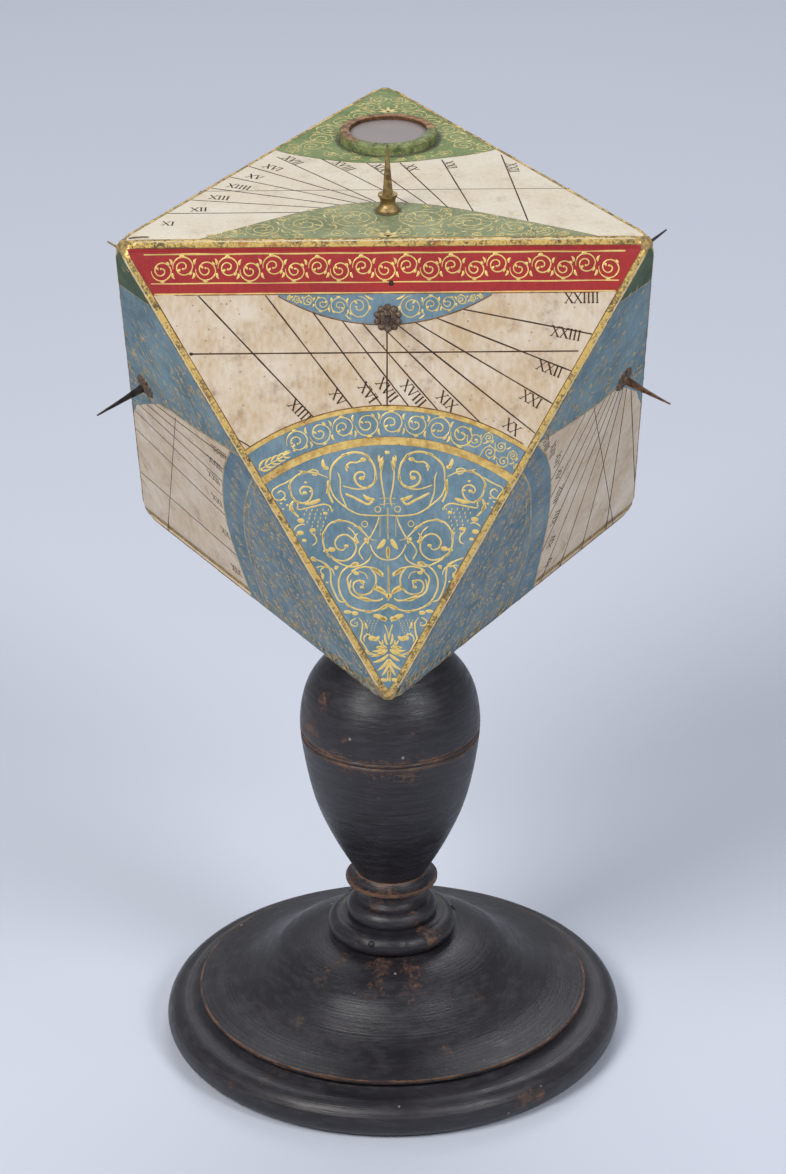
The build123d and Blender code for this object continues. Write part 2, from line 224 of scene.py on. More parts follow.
class DialFace:
    """A face of the block, with places on it in millimetres."""

    def __init__(self, name):
        self.name = name
        if name in side_faces:
            azimuth, looks_up = side_faces[name]
            turn = math.radians(azimuth)
            lean = math.asin(1 / 3) if looks_up else -math.asin(1 / 3)
            level = math.cos(lean)
            self.out = Vector((math.cos(turn) * level, math.sin(turn) * level, math.sin(lean)))
            self.right = Vector((-math.sin(turn), math.cos(turn), 0))
            self.point = -1 if looks_up else 1
        else:
            self.out = Vector((0, 0, 1 if name == "top" else -1))
            self.right = Vector((1, 0, 0))
            self.point = 1
        self.up = self.out.cross(self.right)
        self.centre = block_centre + self.out * inradius
        self.to_edges = [polar(0, 0, 1, 120 * i - 90 * self.point) for i in range(3)]

    def at(self, u, v, height=0.0):
        """Place in the scene of a point on the face and its height above it, drawn in at the worn corners."""
        spot = self.centre + self.right * (u * MM) + self.up * (v * MM) + self.out * (height * MM)
        away = spot - block_centre
        over = away.length / MM - worn_from
        if over > 0:
            away *= (worn_from + worn_reach * (1 - math.exp(-over / worn_reach))) * MM / away.length
        return block_centre + away

    def corners(self, inset=0.0):
        """Corners of the face, drawn in from its edges."""
        return [polar(0, 0, face_circumradius - 2 * inset, 90 * self.point + turn) for turn in (0, 120, 240)]

    def from_edge(self, u, v):
        """Distance from the nearest edge of the face."""
        return min(face_inradius - (u * a + v * b) for a, b in self.to_edges)

    def border(self):
        """Width of its gold border, in millimetres."""
        if self.name in ("front_left", "front_right"):
            return sizes().side_border / MM
        return (sizes().top_border if self.name == "top" else sizes().border) / MM


faces = {name: DialFace(name) for name in [*side_faces, "top", "bottom"]}


# Making pieces

def walls(start, rings, sides):
    """Faces between rings of points that follow one another."""
    found = []
    for near in range(start, start + (rings - 1) * sides, sides):
        for side in range(sides):
            after = (side + 1) % sides
            found.append((near + side, near + after, near + sides + after, near + sides + side))
    return found


def tube(start, rings, sides):
    """Faces between rings of points, closed at both ends."""
    last = start + (rings - 1) * sides
    return walls(start, rings, sides) + [tuple(range(start, start + sides)), tuple(range(last, last + sides))]


def new_piece(name, vertices, polygons, *finishes, body="dial_block", slot="painted_leaf", replaced=None,
              smooth=True, wear=None):
    """Mesh piece with its finishes, riding on a body."""
    mesh = bpy.data.meshes.new(name)
    mesh.from_pydata([tuple(v) for v in vertices], [], polygons)
    fixed = bmesh.new()
    fixed.from_mesh(mesh)
    bmesh.ops.recalc_face_normals(fixed, faces=fixed.faces)
    fixed.to_mesh(mesh)
    fixed.free()
    mesh.polygons.foreach_set("use_smooth", [smooth] * len(mesh.polygons))
    if smooth:
        mesh.set_sharp_from_angle(angle=math.radians(42))
    if wear:
        layer = mesh.attributes.new("wear", "FLOAT", "POINT")
        layer.data.foreach_set("value", wear)
    piece = bpy.data.objects.new(name, mesh)
    bpy.context.scene.collection.objects.link(piece)
    for one in finishes:
        mesh.materials.append(one)
    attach(piece, body)
    if replaced:
        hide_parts(replaced)
    return piece


class Strokes:
    """Brush and pen strokes on one face, gathered into one mesh of closed ribbons."""

    low = -0.03

    def __init__(self, face, seed, high=0.07):
        self.face = face
        self.high = high
        self.chance = random.Random(seed)
        self.vertices = []
        self.polygons = []
        self.limit = None

    def keep_off(self, inset):
        """Draw no nearer to the edges of the face than this."""
        self.limit = lambda u, v: self.face.from_edge(u, v) > inset

    def ribbon(self, points, widths):
        """Low closed ridge along points, as wide as given at each."""
        count = len(points)
        if count < 2:
            return
        start = len(self.vertices)
        for index, (u, v) in enumerate(points):
            before = points[max(index - 1, 0)]
            after = points[min(index + 1, count - 1)]
            along = Vector((after[0] - before[0], after[1] - before[1]))
            if along.length < 1e-9:
                along = Vector((1, 0))
            along.normalize()
            half = widths[index] / 2
            for share, height in ((-1, self.low), (-0.5, self.high), (0.5, self.high), (1, self.low)):
                aside = half * share
                self.vertices.append(self.face.at(u - along.y * aside, v + along.x * aside, height))
        self.polygons += tube(start, count, 4)

    def stroke(self, points, width, head=0.35, tail=0.35, uneven=0.14, step=0.55):
        """Brush stroke that swells between its ends."""
        path = smooth_path(points, step)
        if self.limit:
            path = [p for p in path if self.limit(*p)]
        lift = self.chance.uniform(0, 50)
        widths = []
        for index in range(len(path)):
            share = index / max(1, len(path) - 1)
            swell = min(1.0, head + share * 5, tail + (1 - share) * 5)
            touch = 1 + uneven * noise.noise(Vector((lift + index * 0.21, lift, 0)))
            widths.append(max(0.08, width * swell * touch))
        self.ribbon(path, widths)

    def line(self, points, width, uneven=0.3, step=2.0):
        """Pen line as wide at its ends as between them."""
        self.stroke(points, width, 1, 1, uneven, step)

    def level_line(self, v, first, last, spacing, width, uneven=0.3, step=2.0):
        """Pen line along a level of the face."""
        self.line([(u, v) for u in range(first, last, spacing)], width, uneven, step)

    def leaf(self, u, v, angle, length, width, bend=0.0):
        """One pressed brush mark: a leaf from its stalk to its tip."""
        if self.limit and not self.limit(u, v):
            return
        while self.limit and length > 0.4 and not self.limit(*polar(u, v, length, angle + bend * 0.6)):
            length *= 0.7
        points = []
        widths = []
        for index in range(9):
            share = index / 8
            points.append(polar(u, v, length * share, angle + bend * share))
            widths.append(max(0.06, width * math.sin(math.pi * min(1.0, 0.12 + share * 0.88)) ** 0.8))
        self.ribbon(points, widths)

    def bud(self, u, v, angle, size, leaves, spread):
        """Small fan of leaves round a stalk's end."""
        for index in range(leaves):
            aside = (index - (leaves - 1) / 2) * spread
            reach = size * (1 - 0.18 * abs(index - (leaves - 1) / 2))
            self.leaf(u, v, angle + aside, reach, size * 0.36, aside * 0.35)

    def dot(self, u, v, radius):
        """Round touch of the brush."""
        if not self.limit or self.limit(u, v):
            outline = ((-1, 0.7), (-0.5, 1.85), (0.5, 1.85), (1, 0.7))
            places = [(u + radius * along, v) for along, _ in outline]
            self.ribbon(places, [radius * wide for _, wide in outline])

    def scroll(self, lead, u, v, radius, first, turns, width):
        """Stem that runs from a point into a coil with a bud in it, and leaves on its outer side."""
        spiral = coil(u, v, radius, first, turns)
        self.stroke([lead] + spiral, width, 0.45, 0.7)
        hand = 1 if turns > 0 else -1
        self.dot(*polar(u, v, radius * 0.12, first + 360 * turns), max(width * 0.8, radius * 0.2))
        for share in (0.12, 0.42):
            spot = spiral[int(share * (len(spiral) - 1))]
            facing = direction((u, v), spot)
            self.leaf(*spot, facing + hand * 35, radius * 0.42, width * 1.2, hand * 30)

    def make(self, name, finish):
        """The strokes as one piece."""
        return new_piece(name, self.vertices, self.polygons, finish)


def slab(name, face, outline, finish, top=0.03, wobble=0.1, holes=(), seed=0):
    """Flat painted field a little proud of the ground, trimmed at the face's gold border."""
    rings = []
    for ring in (in_line(trimmed(outline, face.corners(face.border()))), *holes):
        moved = []
        for u, v in ring:
            shift = noise.noise_vector(Vector((u * 0.35, v * 0.35, seed)))
            shift += 0.5 * noise.noise_vector(Vector((u * 1.3, v * 1.3, seed)))
            moved.append((u + shift.x * wobble, v + shift.y * wobble))
        rings.append(moved)
    flat = [p for ring in rings for p in ring]
    triangles = tessellate_polygon([[Vector((u, v, 0)) for u, v in ring] for ring in rings])
    count = len(flat)
    vertices = [face.at(u, v, height) for height in (top, -0.08) for u, v in flat]
    polygons = [tuple(t) for t in triangles] + [tuple(i + count for i in reversed(t)) for t in triangles]
    start = 0
    for ring in rings:
        for a, b in sides_of(list(range(start, start + len(ring)))):
            polygons.append((a, b, b + count, a + count))
        start += len(ring)
    return new_piece(name, vertices, polygons, finish, smooth=False)


# Sun and hour lines

def sun_towards(declination, angle):
    """Direction of the sun for its declination and hour angle, at the latitude of the dial."""
    return Vector((-math.cos(declination) * math.sin(angle),
                   math.sin(declination) * math.cos(latitude)
                   - math.cos(declination) * math.cos(angle) * math.sin(latitude),
                   math.sin(declination) * math.sin(latitude)
                   + math.cos(declination) * math.cos(angle) * math.cos(latitude)))


def hour_line(face, gnomon, hour):
    """Two points of an hour line, counted from sunset, in the order the light falls."""
    right, up, height = gnomon
    found = []
    for step in range(-12, 13):
        declination = obliquity * step / 12
        half_day = math.acos(-math.tan(latitude) * math.tan(declination))
        angle = half_day + math.radians(15 * hour - 360)
        if angle < -half_day - 0.001:
            continue
        light = sun_towards(declination, angle)
        facing = light.dot(face.out)
        if facing > 0.03:
            found.append((right - height * light.dot(face.right) / facing,
                          up - height * light.dot(face.up) / facing))
    return (found[0], found[-1]) if len(found) > 1 else None


def run_inside(a, b, test, reach=190.0, step=0.4):
    """Longest stretch of the line through two points on which the test holds."""
    along = (Vector(b) - Vector(a)).normalized()
    middle = Vector(min(a, b, key=lambda p: math.hypot(*p)))
    runs = [[]]
    for index in range(int(2 * reach / step) + 1):
        spot = middle + along * (index * step - reach)
        if test(spot.x, spot.y):
            runs[-1].append((spot.x, spot.y))
        elif runs[-1]:
            runs.append([])
    return max(runs, key=len)


# Letters of the numerals at a height of one: width, strokes and their thickness, and the feet that end them
LETTERS = {
    "I": (0.34, (((0.17, 0), (0.17, 1), 0.2),), ((0.17, 0), (0.17, 1))),
    "V": (0.78, (((0.1, 1), (0.39, 0), 0.2), ((0.7, 1), (0.39, 0), 0.1)), ((0.1, 1), (0.7, 1))),
    "X": (0.80, (((0.08, 1), (0.74, 0), 0.2), ((0.72, 1), (0.08, 0), 0.1)),
          ((0.08, 0), (0.08, 1), (0.72, 0), (0.72, 1))),
}


def numeral(strokes, text, u, v, turn, size):
    """Roman numeral with thick and thin strokes, centred on a point and read along a heading."""
    gap = 0.08
    total = sum(LETTERS[c][0] for c in text) + gap * (len(text) - 1)
    along = Vector((math.cos(turn), math.sin(turn))) * size
    above = Vector((-along.y, along.x))
    start = Vector((u, v)) - along * (total / 2)

    def spot(x, y):
        return tuple(start + along * x + above * (y - 0.5))

    x = 0.0
    for letter in text:
        wide, marks, feet = LETTERS[letter]
        for first, last, thick in marks:
            points = [spot(x + across, y) for across, y in in_between(first, last, 3)]
            strokes.ribbon(points, [size * thick * strokes.chance.uniform(0.85, 1.15) for _ in points])
        for across, y in feet:
            strokes.ribbon([spot(x + across - 0.13, y), spot(x + across + 0.13, y)], [size * 0.1] * 2)
        x += wide + gap


def hour_lines(strokes, gnomon, hours, blocked, labels=(), size=1.0):
    """Hour lines clipped to the bare ground, and the numerals of those that have a label."""
    face = strokes.face
    rim = face.border() + 0.1

    def bare(u, v):
        return face.from_edge(u, v) > rim and not any(holds(zone, u, v) for zone in blocked)

    for hour in hours:
        ends = hour_line(face, gnomon, hour)
        run = run_inside(*ends, bare) if ends else []
        if len(run) < 8:
            continue
        strokes.stroke(run[::6] + [run[-1]], sizes().hour_line / MM, 0.8, 0.8, 0.35, 2.0)
        if hour in labels:
            text, u, v = labels[hour]
            turn = math.atan2(run[-1][1] - run[0][1], run[-1][0] - run[0][0])
            if math.cos(turn) < -0.05:
                turn += math.pi
            numeral(strokes, text, u, v, turn, size)


# Settings

def colour_setting(name, description, *display):
    """Colour that a user can change, with its default given from 0 to 255."""
    return bpy.props.FloatVectorProperty(name=name, description=description, subtype="COLOR", size=3,
                                         min=0, max=1, default=srgb(*display))


def length_setting(name, description, low, high, default):
    """Length that a user can change, in metres."""
    return bpy.props.FloatProperty(name=name, description=description, unit="LENGTH", min=low, max=high,
                                   default=default)


class Colours(bpy.types.PropertyGroup):
    """Colours of the sundial, as a painter would mix them."""

    ground: colour_setting("Bare ground", "Cream ground of the side dials", 210, 196, 178)
    top_ground: colour_setting("Top ground", "Paler ground of the top dial", 208, 200, 185)
    red: colour_setting("Red band", "Red of the bands at the head of the dials", 151, 35, 34)
    blue: colour_setting("Blue field", "Blue of the lower fields", 108, 130, 142)
    green: colour_setting("Green field", "Green of the fields on top", 122, 136, 88)
    gold: colour_setting("Shell gold", "Gold of the scrollwork", 216, 184, 104)
    ink: colour_setting("Ink", "Brown ink of the hour lines and numerals", 40, 26, 18)
    wood: colour_setting("Ebonised wood", "Black stain of the turned stand", 39, 37, 42)
    rubbed: colour_setting("Rubbed wood", "Brown wood that shows where the stain is rubbed away", 118, 84, 62)


class Sizes(bpy.types.PropertyGroup):
    """Sizes of the painting and of the worn edges."""

    border: length_setting("Border", "Gold border of the front and rear faces", 0.001, 0.006, 0.002)
    arris: length_setting("Arris", "Radius of the rubbed edges of the block", 0.0004, 0.002, 0.0009)
    side_border: length_setting("Side border", "Gold edge of the side dials", 0.0008, 0.006, 0.0008)
    top_border: length_setting("Top border", "Gold edge of the top dial", 0.0008, 0.006, 0.0014)
    numeral: length_setting("Numerals", "Height of the hour numerals", 0.002, 0.006, 0.003)
    hour_line: length_setting("Hour lines", "Width of the hour lines", 0.0001, 0.001, 0.00054)
    chip: length_setting("Chips", "Depth of the chips along the edges", 0, 0.0006, 0.00032)


def colours():
    return bpy.context.scene.sundial_colours


def sizes():
    return bpy.context.scene.sundial_sizes


# Shader nodes

class Net:
    """Nodes of one shader tree, added and joined in short steps."""

    def __init__(self, tree):
        self.tree = tree

    def join(self, value, socket):
        """Give a socket a value, or another socket to follow."""
        if isinstance(value, bpy.types.NodeSocket):
            self.tree.links.new(value, socket)
        elif socket.type == "RGBA":
            socket.default_value = (*tuple(value)[:3], 1)
        else:
            socket.default_value = value

    def add(self, kind, inputs=None, **settings):
        """Node with its settings and inputs."""
        node = self.tree.nodes.new("ShaderNode" + kind)
        for key, value in settings.items():
            setattr(node, key, value)
        for key, value in (inputs or {}).items():
            self.join(value, node.inputs[key])
        return node

    def place(self, made, **values):
        """Outputs of a node group placed with its values."""
        return self.add("Group", values, node_tree=made).outputs

    def where(self):
        """Place on the object."""
        return self.add("TexCoord").outputs["Object"]

    def stretched(self, where, along_z):
        """Place with its heights scaled."""
        return self.add("Mapping", {"Vector": where, "Scale": (1, 1, along_z)}).outputs[0]

    def maths(self, operation, *values, clamp=False):
        return self.add("Math", dict(enumerate(values)), operation=operation, use_clamp=clamp).outputs[0]

    def times(self, first, second, clamp=False):
        return self.maths("MULTIPLY", first, second, clamp=clamp)

    def plus(self, first, second):
        return self.maths("ADD", first, second)

    def mixed(self, first, share, second, other_share):
        """Sum of two values, each with its share."""
        return self.plus(self.times(first, share), self.times(second, other_share))

    def spread(self, value, low, high, to_low=0.0, to_high=1.0):
        """Value drawn out between two limits."""
        return self.add("MapRange", {"Value": value, "From Min": low, "From Max": high, "To Min": to_low,
                                     "To Max": to_high}).outputs[0]

    def blended(self, mask, first, second):
        """Two colours joined by a mask."""
        return self.add("Mix", {0: mask, 6: first, 7: second}, data_type="RGBA").outputs[2]

    def grain(self, size, detail=4.0, rough=0.55, where=None):
        """Noise whose features are about as large as the size, in millimetres."""
        return self.add("TexNoise", {"Vector": where or self.where(), "Scale": 1000 / size, "Detail": detail,
                                     "Roughness": rough}).outputs["Fac"]

    def specks(self, where, scale, outer, inner):
        """Small round marks, one to a cell."""
        cells = self.add("TexVoronoi", {"Vector": where, "Scale": scale, "Randomness": 1.0})
        return self.spread(cells.outputs["Distance"], outer, inner)

    def surface(self, values):
        """Values and sockets of the surface shader."""
        shader = next(n for n in self.tree.nodes if n.type == "BSDF_PRINCIPLED")
        for key, value in values.items():
            self.join(value, shader.inputs[key])

    def relief(self, height, distance, strength):
        """Height that the light shows as bumps."""
        bump = self.add("Bump", {"Height": height, "Distance": distance, "Strength": strength})
        self.surface({"Normal": bump.outputs[0]})


def effect(outputs, **inputs):
    """Shader node group made once, under the name of the function that builds it."""
    def wrap(build):
        def made():
            if build.__name__ in bpy.data.node_groups:
                return bpy.data.node_groups[build.__name__]
            tree = bpy.data.node_groups.new(build.__name__, "ShaderNodeTree")
            for label, default in inputs.items():
                kind = "NodeSocketColor" if isinstance(default, tuple) else "NodeSocketFloat"
                socket = tree.interface.new_socket(name=label, in_out="INPUT", socket_type=kind)
                socket.default_value = default
            for label in outputs:
                kind = "NodeSocketColor" if label == "Color" else "NodeSocketFloat"
                tree.interface.new_socket(name=label, in_out="OUTPUT", socket_type=kind)
            given = tree.nodes.new("NodeGroupInput").outputs
            result = tree.nodes.new("NodeGroupOutput").inputs
            for label, socket in zip(outputs, build(Net(tree), given)):
                tree.links.new(socket, result[label])
            return tree
        return made
    return wrap


@effect(("Color", "Mask"), Light=(1, 1, 1, 1), Dark=(0, 0, 0, 1), Amount=1.0)
def brush_mottle(net, given):
    """Uneven brushed colour: soft clouds, and short strokes within them."""
    where = net.where()
    clouds = net.grain(14.0, 3, 0.5, where)
    marks = net.grain(1.5, 5, 0.65, net.stretched(where, 0.35))
    mask = net.times(net.spread(net.mixed(clouds, 0.5, marks, 0.5), 0.38, 0.62), given["Amount"])
    return net.blended(mask, given["Light"], given["Dark"]), mask


@effect(("Color", "Mask"), Color=(1, 1, 1, 1), Stain=(0.2, 0.1, 0.05, 1), Amount=0.5)
def foxing(net, given):
    """Brown stains in soft patches, with small dark specks."""
    where = net.where()
    patches = net.spread(net.grain(9.0, 5, 0.62, where), 0.52, 0.78)
    fine = net.spread(net.grain(1.6, 4, 0.7, where), 0.45, 0.75)
    soft = net.times(patches, net.plus(fine, 0.25))
    rare = net.spread(net.grain(4.0, 2, 0.5, where), 0.46, 0.58)
    specks = net.times(net.specks(where, 460.0, 0.17, 0.07), rare)
    mask = net.times(net.plus(soft, net.times(specks, 0.8)), given["Amount"], clamp=True)
    return net.blended(mask, given["Color"], given["Stain"]), mask


@effect(("Height",), Depth=1.0)
def paint_relief(net, given):
    """Height of a thin coat of old paint over gesso."""
    where = net.where()
    height = net.mixed(net.grain(0.9, 6, 0.6, where), 0.6, net.grain(7.0, 2, 0.5, where), 0.9)
    return (net.times(height, given["Depth"]),)


@effect(("Mask",), Amount=1.0)
def worn_edges(net, given):
    """Mask of the places that handling has rubbed, broken up by the grain of the surface."""
    worn = net.add("Attribute", attribute_name="wear").outputs["Fac"]
    level = net.mixed(net.grain(1.6, 6, 0.7), 0.7, net.grain(9.0, 2, 0.5), 0.5)
    return (net.spread(net.plus(net.times(worn, given["Amount"]), level), 0.86, 1.0),)


@effect(("Mask",), From=0.45, To=0.65)
def gold_granules(net, given):
    """Speckle of laid gold over ochre."""
    where = net.where()
    level = net.mixed(net.grain(0.85, 4, 0.8, where), 0.65, net.grain(5.0, 3, 0.6, where), 0.45)
    return (net.spread(level, given["From"], given["To"]),)


# Finishes

def finish(build):
    """Finish made once, under the name of the function that builds it."""
    def made():
        name = build.__name__ + "_finish"
        material = bpy.data.materials.get(name)
        if not material:
            material = bpy.data.materials.new(name)
            material.use_nodes = True
            build(Net(material.node_tree))
        return material
    return made


def darker(colour, share):
    return tuple(c * share for c in colour)


def old_paint(net, light, dark, stain, mottle=1.0, stained=0.7, rough=(0.62, 0.8)):
    """Old distemper: brushed unevenly, stained with age and worn at its edges."""
    brushed = net.place(brush_mottle(), Light=light, Dark=dark, Amount=mottle)
    aged = net.place(foxing(), Color=brushed["Color"], Stain=stain, Amount=stained)
    worn = net.place(worn_edges(), Amount=0.9)
    net.surface({"Base Color": net.blended(worn["Mask"], aged["Color"], srgb(186, 160, 112)),
                 "Roughness": net.spread(brushed["Mask"], 0, 1, *rough),
                 "Specular IOR Level": 0.35})
    net.relief(net.place(paint_relief(), Depth=1.0)["Height"], 0.00012, 0.7)


def mottled(net, light, dark, size, rough, metallic=0.0, depth=0.0001, marks=None, shine=0.5):
    """Two colours in clouds as large as the size, in millimetres, with stains over them."""
    cloud = net.spread(net.grain(size, 5, 0.6), 0.38, 0.64)
    fine = net.grain(size * 0.16, 4, 0.65)
    mask = net.times(cloud, net.plus(net.times(fine, 0.8), 0.5), clamp=True)
    colour = net.blended(mask, light, dark)
    if marks:
        colour = net.place(foxing(), Color=colour, Stain=marks, Amount=0.8)["Color"]
    net.surface({"Base Color": colour, "Roughness": net.spread(mask, 0, 1, *rough), "Metallic": metallic,
                 "Specular IOR Level": shine})
    net.relief(net.plus(fine, cloud), depth, 0.7)


@finish
def cream_ground(net):
    """Bare ground of the side and rear dials."""
    old_paint(net, colours().ground, srgb(190, 168, 140), srgb(118, 82, 52), 0.9, 0.9, (0.6, 0.78))


@finish
def shaded_front_ground(net):
    """Cream ground of the front, darker than that of the sides as painted shade for the light on this face, a
    little yellower, with more brown specks.
    """
    # Darkening the ground by this share is painted shade for the light that falls on the front face
    light = darker(colours().ground, 0.86)
    old_paint(net, light, srgb(176, 152, 120), srgb(112, 76, 46), 0.95, 1.0, (0.6, 0.78))


@finish
def top_ground(net):
    """Paler ground of the top."""
    old_paint(net, colours().top_ground, srgb(198, 184, 160), srgb(138, 108, 76), 0.8, 0.7, (0.6, 0.78))


@finish
def red_paint(net):
    """Red of the bands."""
    old_paint(net, colours().red, srgb(134, 28, 32), srgb(84, 28, 28), 1.0, 0.7, (0.5, 0.7))


@finish
def blue_paint(net):
    """Blue of the lower fields."""
    old_paint(net, colours().blue, srgb(80, 106, 120), srgb(84, 88, 74), 1.0, 0.9, (0.6, 0.8))


@finish
def grey_blue_paint(net):
    """Greyer blue of the side faces' upper fields."""
    old_paint(net, srgb(112, 138, 148), srgb(86, 108, 118), srgb(104, 96, 70), 1.0, 0.8)


@finish
def green_paint(net):
    """Green behind the compass."""
    old_paint(net, colours().green, srgb(94, 112, 68), srgb(78, 76, 48), 1.0, 0.6, (0.6, 0.8))


@finish
def near_green_paint(net):
    """Greyer green at the near edge of the top."""
    old_paint(net, srgb(138, 144, 108), srgb(108, 116, 84), srgb(86, 80, 56), 1.0, 0.7, (0.6, 0.8))


@finish
def grime_and_shade_paint(net):
    """Dark grime on the green round the metal, which also stands for painted shade at the foot of the raised
    compass rim and gnomon.
    """
    # Darkened green: grime, and painted shade round the feet of raised parts
    old_paint(net, srgb(104, 108, 82), srgb(62, 62, 46), srgb(40, 36, 28), 1.0, 0.9)


@finish
def dark_green_paint(net):
    """Dark green at the tips of the side faces."""
    old_paint(net, srgb(72, 92, 68), srgb(50, 68, 52), srgb(48, 46, 32), 1.0, 0.6)


@finish
def shell_gold(net):
    """Gold brushed on in thin strokes, worn through in places."""
    gold = colours().gold
    brushed = net.place(brush_mottle(), Light=gold, Dark=darker(gold, 0.62), Amount=0.9)
    grains = net.place(gold_granules(), From=0.4, To=0.7)["Mask"]
    net.surface({"Base Color": net.blended(net.times(grains, 0.55), brushed["Color"], srgb(240, 214, 140)),
                 "Metallic": net.spread(grains, 0, 1, 0.15, 0.5),
                 "Roughness": net.spread(grains, 0, 1, 0.55, 0.36)})
    net.relief(net.place(paint_relief(), Depth=1.0)["Height"], 0.0001, 0.6)


@finish
def dull_gold(net):
    """Tarnished gold of the side fields."""
    mottled(net, srgb(184, 160, 108), srgb(138, 118, 78), 3.0, (0.5, 0.7), 0.2, 0.00005)


@finish
def green_gold(net):
    """Paler gold of the top's scrollwork."""
    mottled(net, srgb(214, 194, 132), srgb(170, 148, 88), 2.2, (0.45, 0.65), 0.25, 0.00005)


@finish
def band_gold(net):
    """Laid gold of the bands, smoother than that of the edges."""
    mottled(net, srgb(214, 184, 112), srgb(160, 126, 66), 2.6, (0.4, 0.62), 0.35, 0.00006, srgb(92, 62, 34))


@finish
def border_gold(net):
    """Granular gold over ochre on the edges, rubbed to the pale ground on the arris."""
    grains = net.place(gold_granules(), From=0.47, To=0.58)["Mask"]
    ochre = net.place(brush_mottle(), Light=srgb(122, 102, 56), Dark=srgb(62, 54, 34), Amount=1.0)
    gilt = net.blended(net.times(grains, 0.9), ochre["Color"], srgb(218, 184, 108))
    rusty = net.spread(net.grain(6.0, 4, 0.6), 0.6, 0.7)
    gilt = net.blended(net.times(rusty, 0.6), gilt, srgb(160, 92, 44))
    bare = net.blended(net.place(worn_edges(), Amount=0.6)["Mask"], gilt, srgb(214, 202, 172))
    aged = net.place(foxing(), Color=bare, Stain=srgb(70, 48, 28), Amount=0.8)
    net.surface({"Base Color": aged["Color"], "Metallic": net.spread(grains, 0, 1, 0.1, 0.55),
                 "Roughness": net.spread(grains, 0, 1, 0.62, 0.4)})
    coat = net.place(paint_relief(), Depth=1.0)["Height"]
    net.relief(net.plus(coat, net.times(grains, 0.5)), 0.00018, 0.9)


@finish
def ink(net):
    """Brown ink of the hour lines."""
    mottled(net, colours().ink, srgb(84, 58, 38), 1.6, (0.6, 0.8), depth=0.00003, shine=0.25)


@finish
def brown_line(net):
    """Brown line between the fields."""
    mottled(net, srgb(74, 48, 26), srgb(132, 92, 46), 2.2, (0.55, 0.75), depth=0.00004, shine=0.3)


@finish
def ebonised_wood(net):
    """Black stained wood with lathe lines, dull dust and brown rubbed places."""
    where = net.where()
    parts = net.add("SeparateXYZ", {"Vector": where}).outputs
    flat = net.add("CombineXYZ", {"X": parts[0], "Y": parts[1]}).outputs[0]
    from_axis = net.add("VectorMath", {0: flat}, operation="LENGTH").outputs["Value"]
    turned = net.add("CombineXYZ", {"X": from_axis, "Y": 0.0, "Z": parts[2]}).outputs[0]
    lathe = net.grain(0.9, 4, 0.6, turned)
    scratches = net.grain(9.0, 6, 0.68, net.stretched(where, 5))
    clouds = net.grain(26.0, 3, 0.5, where)
    stain = colours().wood
    base = net.blended(net.spread(clouds, 0.35, 0.65), darker(stain, 0.6), stain)
    base = net.blended(net.times(net.spread(scratches, 0.48, 0.7), 0.5), base, srgb(62, 59, 66))
    base = net.blended(net.times(net.spread(lathe, 0.55, 0.7), 0.4), base, srgb(60, 50, 48))
    worn = net.place(worn_edges(), Amount=0.58)["Mask"]
    rubbed = net.blended(net.spread(scratches, 0.42, 0.58), colours().rubbed, srgb(62, 44, 38))
    base = net.blended(net.times(worn, 0.7), base, rubbed)
    rare = net.spread(net.grain(11.0, 1, 0.5, where), 0.56, 0.6)
    base = net.blended(net.times(net.specks(where, 150.0, 0.09, 0.05), rare), base, srgb(128, 120, 112))
    net.surface({"Base Color": base, "Specular IOR Level": 0.42,
                 "Roughness": net.plus(net.spread(scratches, 0.35, 0.65, 0.3, 0.5), net.times(worn, 0.2))})
    net.relief(net.mixed(lathe, 0.6, scratches, 0.8), 0.0003, 0.8)


@finish
def old_glass(net):
    """Clouded glass of the compass."""
    clouds = net.spread(net.grain(8.0, 4, 0.6), 0.35, 0.7)
    net.surface({"Base Color": net.blended(clouds, srgb(172, 162, 158), srgb(134, 126, 128)), "IOR": 1.5,
                 "Roughness": net.spread(clouds, 0, 1, 0.12, 0.3),
                 "Alpha": net.spread(clouds, 0, 1, 0.72, 0.92)})
    net.relief(clouds, 0.00005, 0.4)


@finish
def nail_iron(net):
    """Dark iron of the nails and the pin."""
    mottled(net, srgb(44, 40, 40), srgb(26, 24, 25), 1.2, (0.4, 0.6), 0.4, marks=srgb(70, 50, 40))


@finish
def washer_metal(net):
    """Gilding left on rusted iron."""
    mottled(net, srgb(122, 102, 84), srgb(64, 54, 50), 0.8, (0.4, 0.6), 0.6, 0.00012, srgb(60, 40, 28))


@finish
def spike_iron(net):
    """Old iron of most spikes."""
    mottled(net, srgb(84, 76, 72), srgb(42, 37, 36), 2.4, (0.34, 0.55), 0.85, marks=srgb(96, 58, 34))


@finish
def warm_iron(net):
    """Browner iron of the right-hand spike."""
    mottled(net, srgb(148, 112, 84), srgb(84, 54, 38), 2.0, (0.32, 0.5), 0.8, marks=srgb(84, 44, 26))


@finish
def old_brass(net):
    """Tarnished brass."""
    mottled(net, srgb(168, 142, 94), srgb(106, 86, 56), 1.6, (0.38, 0.58), 0.7, marks=srgb(70, 46, 24))


